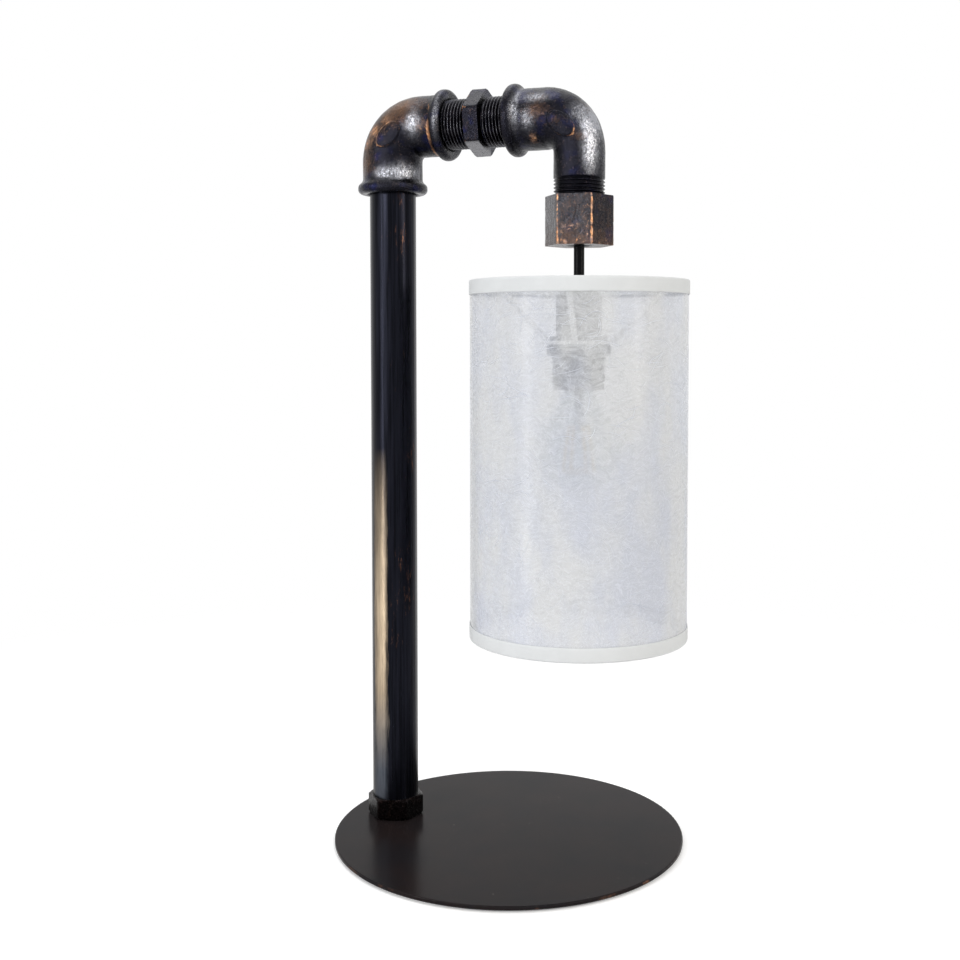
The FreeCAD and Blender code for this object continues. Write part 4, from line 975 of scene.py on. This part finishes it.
def folded_tape(name, edge, inward, width):
    """Tape folded over the shade's edge, with a slightly wavy outer hem."""
    around = 288
    out = SHADE_RADIUS
    wire_inner = SKIN_RADIUS - SKIN_THICKNESS - 2 * WIRE_RADIUS
    inside = wire_inner - TAPE_THICKNESS
    fold = 0.9
    quarter = [math.radians(90 * i / 5) for i in range(6)]
    # (radius, distance from the edge), from the outer hem over the fold to the inner hem and back under it
    outline = [(out - 0.12, width), (out - 0.02, width - 0.15), (out, width - 1.2), (out, width / 2), (out, fold)]
    outline += [(out - fold * (1 - math.cos(a)), fold * (1 - math.sin(a))) for a in quarter[1:]]
    outline += [(inside + fold * (1 - math.sin(a)), fold * (1 - math.cos(a))) for a in quarter]
    outline += [(inside, TAPE_INSIDE / 2), (inside, TAPE_INSIDE), (wire_inner - 0.1, TAPE_INSIDE), (wire_inner, 1.4),
                (wire_inner + 0.8, TAPE_THICKNESS), (SKIN_RADIUS - 0.6, TAPE_THICKNESS), (SKIN_RADIUS + 0.02, 0.8),
                (SKIN_RADIUS + 0.02, width)]
    points = []
    for r, from_edge in outline:
        at_hem = abs(from_edge - width) < 0.4 and r > SKIN_RADIUS - 0.1
        for angle in around_axis(around):
            shift = bumps((math.cos(angle) * 50, math.sin(angle) * 50, edge), 18.0, 2) * 0.12 if at_hem else 0.0
            points.append((HANG_X + r * math.cos(angle), r * math.sin(angle), edge + inward * (shift - from_edge)))
    return fix_normals(make_mesh(name, points, loop_faces(len(outline), around, True)))


def holder_finish():
    black = moulded("Moulded phenolic, satin black", "0b0b0d", 0.42, ior=1.3)
    for node in ("holder_cover", "holder_skirt", "shade_ring"):
        dress(node, black)
    dress("holder_insert", moulded("Glazed porcelain", "e6e2d8", 0.12, 1.5))
    brass = moulded("Rolled brass", "c79a4c", 0.3, metallic=1.0)
    for node in ("centre_contact", "side_contact", "screw_sleeve", "bulb_contact"):
        dress(node, brass)
    dress("terminal_screws", moulded("Nickel-plated terminal screw", "c4c2bc", 0.3, metallic=1.0))


def bulb_finish():
    dress("bulb_shell", moulded("Rolled nickel-plated cap", "c9c8c4", 0.25, 1.2, metallic=1.0))
    dress("bulb_insulator", moulded("Black vitrite glass", "08080a", 0.1))
    dress("bulb_glass", blown_glass("Blown clear glass", "ffffff"))
    dress("bulb_stem", blown_glass("Pressed clear glass stem", "f4f8f8"))
    dress("bulb_filaments", moulded("Phosphor-coated filament rod", "e6b84a", 0.55))


def studio(context):
    scene = context.scene
    camera_data = bpy.data.cameras.new("studio_camera")
    camera = bpy.data.objects.new("studio_camera", camera_data)
    scene.collection.objects.link(camera)
    turn = math.radians(CAMERA_TURN)
    camera.location = (math.sin(turn) * CAMERA_DISTANCE, -math.cos(turn) * CAMERA_DISTANCE, CAMERA_HEIGHT)
    camera.rotation_euler = (math.radians(90 - CAMERA_DIP), 0, turn)
    camera_data.sensor_width = 36
    camera_data.lens = 47.48
    camera_data.shift_x = -0.030
    camera_data.shift_y = -0.080
    scene.camera = camera

    world = bpy.data.worlds.new("studio_world")
    scene.world = world
    world.use_nodes = True
    tree = world.node_tree
    tree.nodes.clear()
    rays = add(tree, "LightPath").node
    bent = add(tree, "Math", (rays.outputs["Is Glossy Ray"], rays.outputs["Is Transmission Ray"]),
               operation="MAXIMUM")
    seen = add(tree, "Math", (rays.outputs["Is Camera Ray"], bent), operation="MAXIMUM")
    white = add(tree, "Background", {"Color": (1, 1, 1, 1), "Strength": 1.0})
    fill = add(tree, "Background", {"Color": (1, 1, 1, 1), "Strength": 0.50})
    both = add(tree, "MixShader", {0: seen, 1: fill, 2: white})
    add(tree, "OutputWorld", {"Surface": both})

    bpy.ops.mesh.primitive_circle_add(vertices=96, radius=1.6, fill_type="NGON", location=(0, 0, 0))
    floor = context.object
    floor.name = "studio_floor"
    material, tree, place = new_material("Matt white studio floor")
    rays = add(tree, "LightPath").node
    mottle = grain(tree, place, 40.0, 2.0)
    tone = coats(tree, linear("f4f4f4"), ("f7f7f7", mottle))
    matt = add(tree, "BsdfPrincipled", {"Base Color": tone, "Roughness": 0.9})
    glow = add(tree, "Emission", {"Color": (1, 1, 1, 1), "Strength": 0.26})
    lit = add(tree, "AddShader", {0: matt, 1: glow})
    shown = add(tree, "MixShader", {0: rays.outputs["Is Camera Ray"], 1: matt, 2: lit})
    # The floor thins out into the white background, so that no horizon shows, and is open from below
    reach = add(tree, "VectorMath", {0: place}, "Value", operation="LENGTH")
    thin = add(tree, "MapRange", (reach, 180.0, 620.0))
    under = add(tree, "Math", (add(tree, "NewGeometry", out="Backfacing"), rays.outputs["Is Camera Ray"]),
                operation="MULTIPLY")
    thin = add(tree, "Math", (thin, under), operation="MAXIMUM")
    clear = add(tree, "BsdfTransparent")
    faded = add(tree, "MixShader", {0: thin, 1: shown, 2: clear})
    set_material(floor, finish_material(material, faded))

    for name, sizes, place_m, aim, watts in (
            ("right_strip", (0.08, 0.85), (1.19, -0.20, 0.60), (0, 0, 0.30), 5.0),
            ("left_strip", (0.12, 0.95), (-0.66, -1.0, 0.34), (0, 0, 0.25), 4.8),
            ("front_left_softbox", (0.12, 0.16), (-0.36, -1.12, 0.58), (0, 0, 0.36), 3.4),
            ("high_softbox", (0.12, 0.12), (0.78, -0.72, 0.95), (0, 0, 0.3), 3.0),
            ("top_softbox", (0.9, 0.9), (-0.25, 0.15, 1.5), (0, 0, 0.2), 6.6)):
        data = bpy.data.lights.new(name, "AREA")
        data.shape = "RECTANGLE"
        data.size, data.size_y = sizes
        data.energy = watts
        if name == "right_strip":
            data.color = (1.0, 0.94, 0.83)
        light = bpy.data.objects.new(name, data)
        light.location = place_m
        light.rotation_euler = (Vector(place_m) - Vector(aim)).to_track_quat("Z", "Y").to_euler()
        scene.collection.objects.link(light)
    scene.view_settings.view_transform = "Standard"


# ---------------------------------------------------------------- operators

class PIPELAMP_OT_studio(bpy.types.Operator):
    """Sets up the camera, the pale floor and the soft lights"""
    bl_idname = "pipelamp.studio"
    bl_label = "Studio"

    def execute(self, context):
        studio(context)
        return {"FINISHED"}


class PIPELAMP_OT_base(bpy.types.Operator):
    """Finishes the base plate and lays the felt under it"""
    bl_idname = "pipelamp.base"
    bl_label = "Base and felt"

    def execute(self, context):
        base_shape(context)
        return {"FINISHED"}


class PIPELAMP_OT_tube(bpy.types.Operator):
    """Finishes the tube and its grommet, and makes the worn foot nut"""
    bl_idname = "pipelamp.tube"
    bl_label = "Tube and foot nut"

    def execute(self, context):
        tube_finish(context)
        foot_nut_piece(context)
        return {"FINISHED"}


class PIPELAMP_OT_fittings(bpy.types.Operator):
    """Makes the cast elbows, the threaded nipple and the rubbed cap"""
    bl_idname = "pipelamp.fittings"
    bl_label = "Pipe fittings"

    def execute(self, context):
        elbow_pieces(context)
        nipple_piece(context)
        cap_piece(context)
        return {"FINISHED"}


class PIPELAMP_OT_cord(bpy.types.Operator):
    """Makes the cord's stretches and the lead inside the pipes"""
    bl_idname = "pipelamp.cord"
    bl_label = "Cord"

    def execute(self, context):
        cord_pieces(context)
        return {"FINISHED"}


class PIPELAMP_OT_shade(bpy.types.Operator):
    """Makes the fibre skin, its laid fibres and the edge tapes"""
    bl_idname = "pipelamp.shade"
    bl_label = "Shade"

    def execute(self, context):
        shade_pieces(context)
        return {"FINISHED"}


class PIPELAMP_OT_holder(bpy.types.Operator):
    """Finishes the lampholder and the bulb"""
    bl_idname = "pipelamp.holder"
    bl_label = "Lampholder and bulb"

    def execute(self, context):
        holder_finish()
        bulb_finish()
        return {"FINISHED"}


STEPS = ("studio", "base", "tube", "fittings", "cord", "shade", "holder")


class PIPELAMP_PT_sidebar(bpy.types.Panel):
    """Lists the lamp's steps, sizes and colours"""
    bl_label = "Pipe lamp"
    bl_idname = "PIPELAMP_PT_sidebar"
    bl_space_type = "VIEW_3D"
    bl_region_type = "UI"
    bl_category = "Pipe lamp"

    def draw(self, context):
        layout = self.layout
        for step in STEPS:
            layout.operator("pipelamp." + step)
        for group in (context.scene.pipe_lamp_sizes, context.scene.pipe_lamp_colours):
            box = layout.box()
            for name in group.bl_rna.properties.keys():
                if name not in ("rna_type", "name"):
                    box.prop(group, name)


CLASSES = (PipeLampSizes, PipeLampColours, PIPELAMP_OT_studio, PIPELAMP_OT_base, PIPELAMP_OT_tube,
           PIPELAMP_OT_fittings, PIPELAMP_OT_cord, PIPELAMP_OT_shade, PIPELAMP_OT_holder, PIPELAMP_PT_sidebar)


def register():
    for item in CLASSES:
        bpy.utils.register_class(item)
    bpy.types.Scene.pipe_lamp_sizes = bpy.props.PointerProperty(type=PipeLampSizes)
    bpy.types.Scene.pipe_lamp_colours = bpy.props.PointerProperty(type=PipeLampColours)


def unregister():
    del bpy.types.Scene.pipe_lamp_colours
    del bpy.types.Scene.pipe_lamp_sizes
    for item in reversed(CLASSES):
        bpy.utils.unregister_class(item)


def main():
    register()
    for step in STEPS:
        getattr(bpy.ops.pipelamp, step)()


if __name__ == "__main__":
    main()
